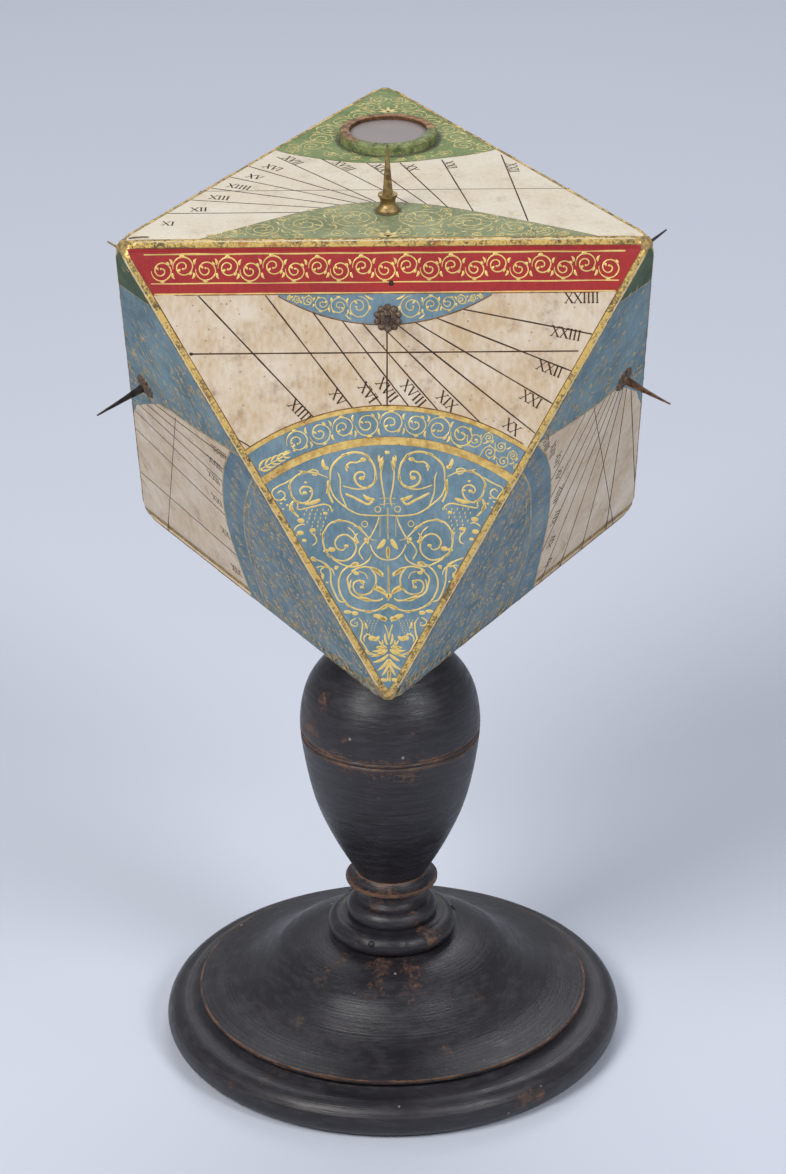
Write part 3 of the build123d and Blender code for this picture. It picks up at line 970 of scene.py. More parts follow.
@finish
def gilt_copper(net):
    """Copper rim with the gilding left on its top, and green paint down its side and over its near part."""
    cloud = net.spread(net.grain(2.6, 5, 0.6), 0.38, 0.62)
    metal = net.blended(cloud, srgb(150, 108, 66), srgb(84, 54, 36))
    level = net.add("SeparateXYZ", {"Vector": net.add("NewGeometry").outputs["Normal"]}).outputs[2]
    side = net.spread(level, 0.9, 0.6)
    where = net.where()
    middle = faces["top"].at(*compass_place, 1.5)
    from_middle = net.add("VectorMath", {0: where, 1: tuple(middle)}, operation="DISTANCE").outputs["Value"]
    outer = net.times(side, net.spread(from_middle, 0.0131, 0.0136))
    spot = net.add("SeparateXYZ", {"Vector": where}).outputs
    ragged = net.times(net.maths("SUBTRACT", net.grain(3.0, 4, 0.6), 0.5), 0.02)
    across = net.maths("SUBTRACT", net.times(spot[0], 0.4), spot[1])
    near = net.spread(net.plus(across, ragged), -middle.y + 0.002, -middle.y + 0.008)
    outer = net.maths("MAXIMUM", outer, near)
    green = net.blended(cloud, srgb(122, 134, 84), srgb(72, 84, 50))
    flecked = net.spread(net.grain(0.8, 3, 0.7), 0.56, 0.6)
    green = net.blended(net.times(flecked, 0.45), green, srgb(190, 166, 104))
    net.surface({"Base Color": net.blended(outer, metal, green),
                 "Metallic": net.spread(outer, 0, 1, 0.75, 0.0),
                 "Roughness": net.spread(outer, 0, 1, 0.38, 0.7)})
    net.relief(cloud, 0.0001, 0.6)


@finish
def bare_wood(net):
    """Unstained wood inside the block."""
    mottled(net, srgb(168, 132, 90), srgb(128, 92, 58), 6.0, (0.6, 0.8), depth=0.00012)


@finish
def rubbed_gesso(net):
    """Boards under the paint, gold and grime showing where their corners are rubbed."""
    mottled(net, srgb(176, 148, 92), srgb(104, 82, 48), 1.3, (0.5, 0.72), 0.2, 0.00014, srgb(62, 50, 40))


@finish
def leather(net):
    """Packing under the glass."""
    mottled(net, srgb(96, 66, 44), srgb(58, 38, 26), 1.6, (0.6, 0.8), depth=0.00012)


@finish
def card(net):
    """Card of the compass."""
    mottled(net, srgb(206, 190, 156), srgb(170, 148, 110), 4.0, (0.7, 0.85), 0.0, 0.00005, srgb(120, 88, 54))


@finish
def blued_steel(net):
    """Blued steel of the needle."""
    mottled(net, srgb(70, 78, 96), srgb(40, 44, 56), 2.0, (0.25, 0.4), 0.95, 0.00004)


@finish
def studio_floor(net):
    """Pale paper of the floor."""
    cloud = net.spread(net.grain(900.0, 2, 0.5), 0.3, 0.7)
    net.surface({"Base Color": net.blended(cloud, srgb(203, 207, 219), srgb(196, 201, 214)),
                 "Roughness": 0.75, "Specular IOR Level": 0.2})
    net.relief(net.grain(3.0, 3, 0.5), 0.0002, 0.1)


def dress(node, finish_given):
    """Give a piece of the frame its finish."""
    nodes[node].data.materials.clear()
    nodes[node].data.materials.append(finish_given)


# Turned wood

def arc_through(a, b, c, count=10):
    """Points of the arc through three points of an outline."""
    (ax, ay), (bx, by), (cx, cy) = a, b, c
    d = 2 * (ax * (by - cy) + bx * (cy - ay) + cx * (ay - by))
    far_a, far_b, far_c = (x * x + y * y for x, y in (a, b, c))
    ux = (far_a * (by - cy) + far_b * (cy - ay) + far_c * (ay - by)) / d
    uy = (far_a * (cx - bx) + far_b * (ax - cx) + far_c * (bx - ax)) / d
    radius = math.dist((ux, uy), a)
    first = math.atan2(ay - uy, ax - ux)
    middle = (math.atan2(by - uy, bx - ux) - first + math.pi) % (2 * math.pi) - math.pi
    sweep = (math.atan2(cy - uy, cx - ux) - first) % (2 * math.pi)
    if middle < 0:
        sweep -= 2 * math.pi
    turns = [first + sweep * i / count for i in range(count + 1)]
    return [(ux + radius * math.cos(turn), uy + radius * math.sin(turn)) for turn in turns]


def outer_bends(points, crispness):
    """Wear of each point of an outline, from how sharply it turns outwards there."""
    bends = [0.0] * len(points)
    for index in range(1, len(points) - 1):
        a = Vector(points[index]) - Vector(points[index - 1])
        b = Vector(points[index + 1]) - Vector(points[index])
        if a.length > 1e-6 and b.length > 1e-6:
            bends[index] = a.angle_signed(b) / max(0.6, (a.length + b.length) / 2)
    sign = 1 if sum(bends) > 0 else -1
    wears = [max(0.0, min(1.0, sign * bend * 1.15 * crispness)) for bend in bends]
    soft = []
    for index, spot in enumerate(points):
        near = range(max(0, index - 3), min(len(points), index + 4))
        soft.append(max(wears[i] * max(0.0, 1 - math.dist(points[i], spot) / 1.4) for i in near))
    return soft


def turn_wood(name, outline, replaced, seed, dents, rubs, crispness, spacing=1.1):
    """Turned piece from an outline of radii and heights, with its dents and rubbed places."""
    count = 192
    points = [outline[0]]
    for a, b in zip(outline, outline[1:]):
        points += in_between(a, b, max(1, int(math.dist(a, b) / spacing)))[1:]
    soft = outer_bends(points, crispness)
    vertices = []
    wear = []
    rings = []
    for (radius, height), rubbed in zip(points, soft):
        def on_side(azimuth, level):
            """Place at this radius, round the axis and at a level."""
            return Vector((*polar(0, 0, radius, azimuth), level))

        if radius < 0.01:
            rings.append([len(vertices)])
            vertices.append(Vector((0, 0, height * MM)))
            wear.append(0.0)
            continue
        near_dents = [(on_side(azimuth, level), size, depth) for azimuth, level, size, depth in dents]
        near_rubs = [(on_side(azimuth, level), size, strength) for azimuth, level, size, strength in rubs]
        rings.append(list(range(len(vertices), len(vertices) + count)))
        for step in range(count):
            spot = on_side(360 * step / count, height)
            uneven = noise.noise(spot * 0.06 + Vector((seed, 0, 0)))
            small = noise.noise(spot * 0.4 + Vector((0, seed, 0)))
            drop = 0.05 * (1 + uneven) + 0.04 * (1 + small) * (0.4 + rubbed)
            worn = rubbed
            for centre, size, depth in near_dents:
                near = (spot - centre).length / size
                if near < 1:
                    drop += depth * (1 - near * near) ** 2
                    worn = max(worn, 0.75 * (1 - near))
            for centre, size, strength in near_rubs:
                near = (spot - centre).length / size
                if near < 1:
                    worn = max(worn, strength * (1 - near) ** 0.5)
            pull = (radius - drop) / radius
            vertices.append(Vector((spot.x * pull, spot.y * pull, spot.z)) * MM)
            wear.append(min(1.0, worn))
    polygons = []
    for near, far in zip(rings, rings[1:]):
        for step in range(count if len(near) + len(far) > 2 else 0):
            after = (step + 1) % count
            if len(near) == 1:
                polygons.append((near[0], far[step], far[after]))
            elif len(far) == 1:
                polygons.append((near[step], near[after], far[0]))
            else:
                polygons.append((near[step], near[after], far[after], far[step]))
    return new_piece(name, vertices, polygons, ebonised_wood(), body="stand", slot="ebonised_wood",
                     replaced=replaced, wear=wear)


# The pieces, one step for each group

class SUNDIAL_OT_stage(bpy.types.Operator):
    """Set up the pale floor, the soft studio light and the camera."""

    bl_idname = "sundial.stage"
    bl_label = "Stage"

    def execute(self, context):
        scene = context.scene
        scene.view_settings.view_transform = "Standard"
        data = bpy.data.cameras.new("camera")
        data.sensor_width = 36
        data.lens = 135.97
        data.clip_end = 50
        camera = bpy.data.objects.new("camera", data)
        scene.collection.objects.link(camera)
        yaw = math.radians(-0.236)
        pitch = math.radians(25.8)
        roll = math.radians(-0.548)
        ahead = Vector((math.sin(yaw) * math.cos(pitch), math.cos(yaw) * math.cos(pitch), -math.sin(pitch)))
        level = Vector((math.cos(yaw), -math.sin(yaw), 0))
        above = level.cross(ahead)
        right = level * math.cos(roll) + above * math.sin(roll)
        up = above * math.cos(roll) - level * math.sin(roll)
        turn = Matrix((right, up, -ahead)).transposed().to_4x4()
        camera.matrix_world = Matrix.Translation((0.00657, -1.26699, 0.77269)) @ turn
        scene.camera = camera

        sides = 48
        rim = [polar(0, 0.6, 9.0, 360 * step / sides) for step in range(sides)]
        mesh = bpy.data.meshes.new("studio_floor")
        mesh.from_pydata([(x, y, 0) for x, y in rim], [], [tuple(range(sides))])
        mesh.materials.append(studio_floor())
        floor = bpy.data.objects.new("studio_floor", mesh)
        scene.collection.objects.link(floor)

        for name, where, size, power, tint in (
                ("key_light", (-0.9, -1.1, 1.4), 0.8, 27.0, (1.0, 0.985, 0.96)),
                ("fill_light", (1.05, -1.05, 1.25), 0.6, 14.0, (0.95, 0.975, 1.0)),
                ("back_light", (0.1, 1.1, 1.4), 1.0, 9.0, (0.96, 0.98, 1.0))):
            lamp = bpy.data.lights.new(name, "AREA")
            lamp.shape = "DISK"
            lamp.size = size
            lamp.energy = power
            lamp.color = tint
            light = bpy.data.objects.new(name, lamp)
            light.location = where
            light.rotation_euler = (Vector((0, 0, 0.2)) - Vector(where)).to_track_quat("-Z", "Y").to_euler()
            scene.collection.objects.link(light)
        world = bpy.data.worlds.new("studio")
        world.use_nodes = True
        sky = next(n for n in world.node_tree.nodes if n.type == "BACKGROUND")
        sky.inputs["Color"].default_value = (*srgb(222, 226, 234), 1)
        sky.inputs["Strength"].default_value = 0.36
        scene.world = world
        return {"FINISHED"}


class SUNDIAL_OT_foot(bpy.types.Operator):
    """Turn the two boards of the foot."""

    bl_idname = "sundial.foot"
    bl_label = "Foot"

    def execute(self, context):
        outline = [(0, 0), (60, 0)] + arc_through((68.5, 0), (74.75, 6.0), (68.5, 12.0), 22)
        outline += arc_through((68.5, 12.0), (64.8, 12.3), (62.4, 13.58), 6)[1:] + [(40, 13.58), (0, 13.58)]
        turn_wood("turned_plinth", outline, "foot_plinth", 1,
                  dents=((309, 6.5, 5.0, 0.5), (318, 5.0, 3.0, 0.4), (225, 8.0, 4.0, 0.25),
                         (262, 3.0, 2.5, 0.3)),
                  rubs=((304, 6.0, 6.5, 0.62), (309, 4.5, 5.0, 0.6), (318, 5.5, 3.2, 0.5),
                        (235, 10.5, 9.0, 0.38), (196, 9.0, 12.0, 0.34), (340, 9.0, 10.0, 0.36)),
                  crispness=0.55)
        base = 13.6
        shape = [(19.5, 21.9), (27.94, 20.14), (35.93, 16.61), (43.03, 10.73), (51.02, 5.63), (63.9, 2.3)]
        outline = [(0, base + 21.9), (12, base + 21.9)] + smooth_path([(r, base + h) for r, h in shape], 0.9)
        outline += [(63.85, base + 2.0), (63.7, base + 1.1), (61.8, base), (40, base), (0, base)]
        turn_wood("turned_dome", outline, "foot_dome", 2,
                  dents=((290, 19.0, 3.0, 0.25), (230, 21.0, 3.5, 0.2)),
                  rubs=((228, 33.0, 5.0, 0.5), (282, 33.2, 9.0, 0.5), (300, 30.5, 7.0, 0.45),
                        (262, 33.8, 8.0, 0.5), (312, 26.0, 6.0, 0.4), (245, 24.0, 7.0, 0.34)),
                  crispness=0.48)
        return {"FINISHED"}


class SUNDIAL_OT_stem(bpy.types.Operator):
    """Turn the stem with its ring, cushion and flange, and drive its nails."""

    bl_idname = "sundial.stem"
    bl_label = "Stem"

    def execute(self, context):
        base = 35.5
        outline = [(0, 0), (10, 0)] + arc_through((18.5, 0), (21.1, 3.3), (16.6, 6.6), 16)
        outline += arc_through((14.3, 6.9), (14.9, 8.8), (11.4, 12.3), 10)
        outline += arc_through((11.4, 12.3), (9.6, 15.4), (14.6, 19.2), 12)[1:]
        outline += [(15.05, 19.6), (15.1, 20.2), (15.05, 20.6)]
        outline += arc_through((15.05, 20.6), (13.1, 21.3), (11.5, 23.0), 6)[1:] + [(5, 23.0), (0, 23.0)]
        turn_wood("turned_stem", [(r, base + h) for r, h in outline], "stem", 3,
                  dents=((236, base + 4, 2.2, 0.3), (281, base + 5.4, 1.6, 0.25), (305, base + 6.2, 1.6, 0.8),
                         (311, base + 6.8, 1.4, 0.7)),
                  rubs=((262, base + 18.6, 12.0, 0.6), (300, base + 19.0, 9.0, 0.55),
                        (200, base + 20.2, 8.0, 0.4), (312, base + 3.5, 7.5, 0.62),
                        (300, base + 10.0, 5.0, 0.5), (232, base + 3.0, 6.0, 0.36)),
                  crispness=0.62, spacing=0.7)
        ring_middle = 17.8
        ring_half = 3.3
        head = ((0.9, -0.5), (1.1, -0.1), (1.05, 0.2), (0.8, 0.42), (0.35, 0.5))
        sides = 14
        slope = math.radians(35)
        for index in range(3):
            ahead = Vector((*polar(0, 0, 1, 251 + 120 * index), 0))
            out = ahead * math.cos(slope) + Vector((0, 0, math.sin(slope)))
            centre = ahead * ring_middle + Vector((0, 0, base + ring_half)) + out * ring_half
            side = out.cross(Vector((0, 0, 1))).normalized()
            up = side.cross(out)
            vertices = []
            for radius, height in head:
                for step in range(sides):
                    uneven = 1 + 0.09 * noise.noise(Vector((step * 0.9, index * 7, height)))
                    x, y = polar(0, 0, radius * uneven, 360 * step / sides)
                    vertices.append((centre + side * x + up * y + out * height) * MM)
            new_piece(f"nail_head_{index + 1}", vertices, tube(0, len(head), sides), nail_iron(),
                      body="stand", slot="dark_iron", replaced="stem_nails")
        return {"FINISHED"}


class SUNDIAL_OT_vase(bpy.types.Operator):
    """Turn the vase with its two fine grooves."""

    bl_idname = "sundial.vase"
    bl_label = "Vase"

    def execute(self, context):
        base = 58.5
        grooves = (51.3, 52.9)
        shape = [(11.5, 0), (18.85, 13.43), (24.74, 28.02), (28.3, 45.43), (29.0, 57.2), (26.36, 68.31),
                 (19.78, 76.93), (11.0, 82.9)]
        curve = smooth_path(shape, 0.8)
        side = [(r, h) for r, h in curve if min(abs(h - level) for level in grooves) > 0.75]
        for level in grooves:
            radius = min(curve, key=lambda p: abs(p[1] - level))[0]
            side += [(radius - depth, level + up)
                     for depth, up in ((0, -0.5), (0.22, -0.32), (0.42, 0), (0.22, 0.32), (0, 0.5))]
        side.sort(key=lambda p: p[1])
        outline = [(0, 0), (6, 0)] + side + [(6, 82.9), (0, 82.9)]
        turn_wood("turned_vase", [(r, base + h) for r, h in outline], "vase", 4,
                  dents=((262, base + 40, 2.2, 0.2), (285, base + 63, 2.0, 0.18), (240, base + 60, 3.0, 0.2)),
                  rubs=((204, base + 60, 15.0, 0.52), (214, base + 70, 11.0, 0.5),
                        (212, base + 44, 10.0, 0.42), (240, base + 51.4, 9.0, 0.55),
                        (262, base + 51.2, 10.0, 0.6), (284, base + 51.2, 9.0, 0.55),
                        (300, base + 51.6, 8.0, 0.5), (268, base + 3, 9.0, 0.3)),
                  crispness=0.4, spacing=0.8)
        return {"FINISHED"}


class SUNDIAL_OT_neck(bpy.types.Operator):
    """Finish the neck and the peg on which the block turns."""

    bl_idname = "sundial.neck"
    bl_label = "Neck and peg"

    def execute(self, context):
        dress("neck", ebonised_wood())
        dress("swivel_peg", bare_wood())
        return {"FINISHED"}


class SUNDIAL_OT_core(bpy.types.Operator):
    """Finish the boards, glue blocks and socket inside the painted block."""

    bl_idname = "sundial.core"
    bl_label = "Block inside the paint"

    def execute(self, context):
        for name in faces:
            dress("panel_" + name, rubbed_gesso())
        dress("glue_blocks", bare_wood())
        dress("socket_block", bare_wood())
        return {"FINISHED"}


# Painted faces

def paint_face(face, ground, holes=()):
    """Painted skin of one face, with its gold border and its rubbed and chipped arrises."""
    arris = sizes().arris / MM
    chip = sizes().chip / MM
    half = math.asin(1 / math.sqrt(3))
    rings = []
    for share in (1.0, 0.66, 0.33, 0.0):
        angle = half * share
        rings.append((arris * (math.tan(half) - math.sin(angle)), arris * (1 - math.cos(angle)), share))
    rings.append((arris * math.tan(half) + 0.05, 0, -0.35))
    rings.append((face.border(), 0, -1))
    per_side = 132
    vertices = []
    wear = []
    for inset, depth, share in rings:
        for a, b in sides_of(face.corners(inset)):
            for u, v in in_between(a, b, per_side)[:-1]:
                spot = face.at(u, v, -depth)
                away = spot - block_centre
                at = away / MM
                if share >= 0:
                    loss = noise.noise(at * 0.5) * 0.4
                    loss += max(0.0, noise.noise(at * 0.17 + Vector((9, 4, 2)))) * 1.3
                    loss += max(0.0, noise.noise(at * 0.9 + Vector((3, 8, 5))) - 0.2) * 1.4
                    spot = spot - away.normalized() * (max(-0.25, loss) * chip * share * MM)
                elif share == -1:
                    shift = noise.noise_vector(at * 0.4) * 0.14 + noise.noise_vector(at * 1.6) * 0.07
                    spot = spot + face.right * (shift.x * MM) + face.up * (shift.y * MM)
                vertices.append(spot)
                near_corner = away.length > 108.5 * MM
                wear.append(max(0.0, share) ** 1.6 * (0.35 if near_corner else 1.0))
    size = 3 * per_side
    polygons = walls(0, len(rings), size)
    on_border = len(polygons)
    last = (len(rings) - 1) * size
    inner = [Vector(((spot - face.centre).dot(face.right) / MM, (spot - face.centre).dot(face.up) / MM, 0))
             for spot in vertices[last:]]
    openings = [arc_points(u, v, radius, 0, 352.5, radius * 0.13) for u, v, radius in holes]
    loops = [inner] + [[Vector((u, v, 0)) for u, v in opening] for opening in openings]
    polygons += [tuple(last + i for i in triangle) for triangle in tessellate_polygon(loops)]
    for opening in openings:
        vertices += [face.at(u, v) for u, v in opening]
    start = last + size
    for opening in openings:
        low = len(vertices)
        vertices += [face.at(u, v, -0.6) for u, v in opening]
        for a, b in sides_of(list(range(len(opening)))):
            polygons.append((start + a, start + b, low + b, low + a))
        start += len(opening)
    wear += [0.0] * (len(vertices) - len(wear))
    piece = new_piece("painted_" + face.name, vertices, polygons, border_gold(), ground,
                      replaced="leaf_" + face.name, wear=wear)
    shown = piece.data.polygons
    shown.foreach_set("material_index", [0] * on_border + [1] * (len(polygons) - on_border))
    if sum(p.area * p.normal.dot(face.out) for p in shown) < 0:
        piece.data.flip_normals()


# Scrollwork on the front face, drawn on a fine grid to the right of its axis and mirrored.
# Each entry is a width and the points of a stem, whose last turns make its coil.
FRONT_STEMS = (
    (20, ((330, 300), (322, 215), (270, 155), (200, 128), (130, 140), (85, 190), (67, 260), (80, 310),
          (120, 335), (170, 315), (188, 275), (170, 245), (138, 245), (130, 265), (148, 277))),
    (17, ((130, 160), (170, 187), (210, 187), (236, 210), (232, 238))),
    (14, ((18, 175), (38, 240), (30, 330), (18, 400), (22, 440))),
    (13, ((545, 275), (585, 300), (622, 318), (662, 345), (655, 390), (612, 400), (590, 370), (612, 345),
          (632, 362))),
    (14, ((510, 232), (462, 240), (430, 225), (398, 236), (412, 258), (436, 250))),
    (16, ((341, 272), (403, 247), (462, 240), (520, 259), (557, 303), (556, 348), (541, 392), (497, 421),
          (453, 406), (432, 361), (446, 328), (483, 325), (505, 347), (490, 369), (476, 358))),
    (14, ((314, 449), (321, 471), (328, 442), (365, 427), (431, 439), (512, 454), (516, 421), (549, 377))),
    (18, ((341, 287), (338, 361), (314, 419))),
    (19, ((511, 502), (541, 473), (559, 443))),
    (13, ((474, 546), (497, 539), (533, 561), (540, 591))),
    (13, ((437, 664), (415, 649), (415, 619), (438, 590), (445, 568), (427, 575))),
    (16, ((66, 640), (104, 628), (150, 584), (205, 540), (262, 522), (322, 534), (362, 580), (374, 642),
    (356, 704),
          (308, 744), (250, 754), (204, 730), (184, 684), (196, 636), (236, 606), (280, 612), (304, 646),
          (292, 684), (258, 694), (240, 670))),
    (14, ((95, 720), (110, 752), (150, 778), (205, 790), (262, 778), (320, 744))),
    (12, ((232, 560), (200, 590), (176, 640))),
    (12, ((173, 595), (195, 625), (180, 647))),
    (13, ((46, 491), (64, 543), (100, 617), (144, 662), (165, 706), (143, 750))),
    (9, ((46, 498), (45, 617))),
    (12, ((0, 446), (0, 542), (0, 631))),
    (12, ((103, 661), (84, 706), (47, 742), (0, 753))),
    (11, ((0, 395), (47, 395))),
    (11, ((0, 428), (46, 428))),
    (14, ((0, 494), (79, 495), (174, 485), (255, 434), (314, 375), (341, 287))),
    (22, ((80, 403), (109, 429), (153, 411), (193, 389), (241, 367))),
    (12, ((102, 314), (124, 337), (183, 341), (256, 323))),
    (13, ((286, 242), (271, 286), (270, 360), (248, 419), (233, 456))),
    (15, ((208, 810), (135, 791), (62, 809), (25, 838))),
    (15, ((106, 798), (76, 839), (72, 890), (97, 935), (141, 954), (185, 943), (204, 906), (193, 877),
          (164, 869), (142, 891), (153, 910))),
    (12, ((212, 862), (220, 888), (219, 914))),
    (15, ((0, 786), (0, 882), (0, 985))),
    (13, ((444, 738), (385, 760), (348, 789))),
    (13, ((311, 840), (326, 804), (363, 789), (392, 812), (377, 834))),
    (16, ((0, 1008), (43, 1034), (92, 1050), (150, 1044), (214, 1022), (256, 984), (282, 925), (284, 871),
          (265, 818), (228, 786), (196, 773))),
    (17, ((207, 823), (234, 855), (229, 898), (213, 942), (171, 969), (102, 985), (54, 986), (32, 972))),
    (10, ((169, 816), (132, 829), (117, 862))),
    (15, ((382, 758), (350, 779), (334, 817), (330, 882), (314, 935), (288, 984), (256, 995))),
    (13, ((414, 795), (387, 785), (356, 795))),
    (15, ((172, 1087), (151, 1119), (157, 1179), (162, 1211), (141, 1249), (120, 1286), (83, 1303),
          (35, 1298), (8, 1277))),
    (12, ((188, 1087), (220, 1108), (215, 1130), (183, 1135), (183, 1114), (196, 1119))),
    (12, ((23, 1126), (7, 1169), (0, 1217))),
    (14, ((141, 1227), (144, 1206), (125, 1184), (98, 1190))),
    (15, ((77, 1263), (51, 1260), (35, 1239), (37, 1217))),
)
# Leaves: where they start and end, and their width
FRONT_LEAVES = (
    (387, 398, 475, 435, 34), (338, 302, 338, 368, 30), (19, 631, 54, 694, 40),
    (0, 675, 0, 746, 34), (84, 805, 21, 842, 30), (79, 920, 5, 943, 30),
    (136, 625, 107, 654, 34), (541, 473, 559, 436, 26), (445, 736, 411, 753, 36),
    (382, 827, 371, 861, 26), (89, 798, 29, 842, 34), (80, 905, 10, 939, 36), (0, 1008, 52, 1046, 34),
    (257, 1054, 211, 1048, 30), (86, 1074, 6, 1095, 40), (102, 985, 171, 970, 34), (8, 1272, 98, 1326, 26),
    (4, 1300, 84, 1366, 26),
    (2, 1328, 58, 1404, 26), (0, 1350, 34, 1430, 24), (0, 1392, 0, 1462, 30), (12, 1262, 66, 1226, 20),
    (8, 1244, 34, 1180, 20), (19, 1260, 72, 1265, 34), (55, 1195, 88, 1227, 30),
    (34, 232, 38, 150, 30), (92, 400, 148, 384, 30), (355, 220, 382, 168, 30),
    (18, 1262, 92, 1298, 26), (96, 1300, 142, 1282, 22), (40, 190, 56, 146, 20), (562, 460, 548, 400, 26),
    (122, 1150, 140, 1112, 20), (372, 700, 336, 688, 24), (524, 600, 556, 628, 24),
)
# Round touches: place and radius
FRONT_DOTS = (
    (358, 479, 13), (500, 520, 20), (504, 591, 19), (481, 635, 13),
    (323, 689, 20), (183, 828, 15), (427, 575, 15), (180, 647, 14),
    (185, 773, 18), (199, 815, 13), (297, 791, 12), (0, 959, 20), (193, 1060, 18), (28, 1093, 20),
    (96, 1206, 21), (31, 1449, 16), (149, 878, 14), (138, 170, 17), (232, 212, 11), (352, 218, 15),
    (90, 402, 16), (0, 130, 14), (440, 352, 9), (576, 430, 8), (590, 398, 8), (612, 420, 7), (632, 402, 7),
    (600, 452, 7), (470, 300, 9), (300, 800, 9), (352, 880, 7),
)
# Small rings: place and radius
FRONT_RINGS = ((57, 458, 17), (133, 543, 17))
# Bunches of grapes: place of the top and their size
FRONT_GRAPES = ((402, 452, 150), (102, 1100, 92))


# Size on the face of one step of the grid, across and down
GRID_ACROSS = 0.0516
GRID_DOWN = 0.0515


def tile(x, y):
    """Millimetres on the front face of a place on the fine grid of its scrollwork."""
    return (0.3 + x * GRID_ACROSS, -14.8 - (y - 93) * GRID_DOWN)


def front_scrollwork():
    """Mirrored gold scrollwork of the front's lower field."""
    gold = Strokes(faces["front"], 21)
    gold.keep_off(gold.face.border() + 0.1)
    chance = gold.chance
    for hand in (1, -1):
        for width, points in FRONT_STEMS:
            path = [tile(x * hand + chance.uniform(-2, 2), y + chance.uniform(-2, 2)) for x, y in points]
            gold.stroke(path, width * GRID_ACROSS * 0.84, 0.4, 0.6)
            if len(points) < 10:
                continue
            gold.dot(*path[-1], width * GRID_ACROSS * 0.8)
            for spot, after in zip(path[2:len(path) // 2:2], path[3::2]):
                along = direction(spot, after)
                outward = direction(path[-1], spot)
                side = 1 if math.sin(math.radians(outward - along)) > 0 else -1
                gold.leaf(*spot, along + side * 32, 54 * GRID_ACROSS, 19 * GRID_ACROSS, -side * 40)
        for x, y, far_x, far_y, width in FRONT_LEAVES:
            start = tile(x * hand, y)
            end = tile(far_x * hand, far_y)
            bend = chance.uniform(6, 34) * hand
            heading = direction(start, end) - bend / 2
            gold.leaf(*start, heading, math.dist(start, end), width * GRID_ACROSS, bend)
        for x, y, radius in FRONT_DOTS:
            if x or hand > 0:
                gold.dot(*tile(x * hand, y), radius * GRID_ACROSS)
        for x, y, radius in FRONT_RINGS:
            gold.ribbon([tile(*polar(hand * x, y, radius, 30 * i)) for i in range(13)], [0.42] * 13)
        for x, y, size in FRONT_GRAPES:
            for row in range(7):
                for number in range(5 - row // 2):
                    across = (number - (4 - row // 2) / 2) * size * 0.21 + (row % 2) * size * 0.08
                    gold.leaf(*tile(hand * (x + across), y + row * size * 0.155), -105,
                              size * 0.11 * GRID_ACROSS, size * 0.06 * GRID_ACROSS)
    gold.make("front_scrollwork", shell_gold())


def rinceau(strokes, circles, width, hand, start, turns=1.75):
    """Row of touching coils on one waving stem, turning left and right by turns."""
    chance = strokes.chance
    circles = [(u + chance.uniform(-0.05, 0.05) * r, v + chance.uniform(-0.07, 0.07) * r,
                r * chance.uniform(0.94, 1.04)) for u, v, r in circles]
    count = int(22 * turns)
    for index, (u, v, radius) in enumerate(circles):
        arrive = direction((u, v), circles[index - 1]) if index else start
        side = hand if index % 2 == 0 else -hand
        path = []
        for step in range(count + 1):
            gone = turns * step / count
            shrink = max(0.0, gone - 0.5) / (turns - 0.5)
            path.append(polar(u, v, radius * (1 - 0.8 * shrink ** 0.85), arrive + side * 360 * gone))
        strokes.stroke(path, width, 0.6, 0.8)
        strokes.dot(*path[-1], width * 0.85)
        for gone, length, aside, bend in ((0.24, 0.5, 50, 40), (0.62, 0.44, 50, 40), (0.95, 0.4, -150, -40)):
            spot = path[int(gone / turns * count)]
            heading = direction((u, v), spot) + side * aside
            strokes.leaf(*spot, heading, radius * length, width * 1.9, side * bend)
        if index:
            before_u, before_v, before_radius = circles[index - 1]
            far = radius + before_radius
            gap_u = (u * before_radius + before_u * radius) / far
            gap_v = (v * before_radius + before_v * radius) / far
            for turn in (arrive + 90, arrive - 90):
                strokes.leaf(*polar(gap_u, gap_v, 0.42 * radius, turn), turn + side * 35, radius * 0.62,
                             width * 2.0, -side * 45)


def flecks(strokes, zone, spacing, width, lean, curls=0.25, thin_out=None):
    """Short brush marks and curls scattered over a zone, all leaning much the same way."""
    low_u = min(p[0] for p in zone)
    high_u = max(p[0] for p in zone)
    low_v = min(p[1] for p in zone)
    high_v = max(p[1] for p in zone)
    chance = strokes.chance
    rim = strokes.face.border() + 0.4
    strokes.limit = lambda u, v: holds(zone, u, v) and strokes.face.from_edge(u, v) > rim
    for row in range(int((high_v - low_v) / (spacing * 0.87)) + 1):
        v = low_v + row * spacing * 0.87
        u = low_u + (row % 2) * spacing / 2
        while u < high_u:
            cu = u + chance.uniform(-0.35, 0.35) * spacing
            cv = v + chance.uniform(-0.35, 0.35) * spacing
            u += spacing
            if not holds(zone, cu, cv) or (thin_out and chance.random() > thin_out(cu, cv)):
                continue
            angle = lean + chance.gauss(0, 20)
            kind = chance.random()
            if kind < curls:
                hand = chance.choice((-1, 1))
                radius = spacing * chance.uniform(0.3, 0.48)
                curl = coil(cu, cv, radius, angle - hand * 40, hand * 0.95, 0.35)
                strokes.stroke([polar(cu, cv, radius * 2.6, angle)] + curl, width * 0.8, 0.3, 0.8)
                strokes.leaf(cu, cv, angle + hand * 100, radius * 1.1, width * 1.8, hand * 50)
            elif kind < 0.8:
                strokes.leaf(cu, cv, angle, spacing * chance.uniform(0.5, 1.35),
                             width * chance.uniform(0.8, 1.5), chance.uniform(-60, 60))
            else:
                for aside, reach, wide, bend in ((32, 0.4, 1.3, 30), (-32, 0.4, 1.3, -30), (0, 0.5, 1.2, 0)):
                    strokes.leaf(cu, cv, angle + aside, spacing * reach, width * wide, bend)


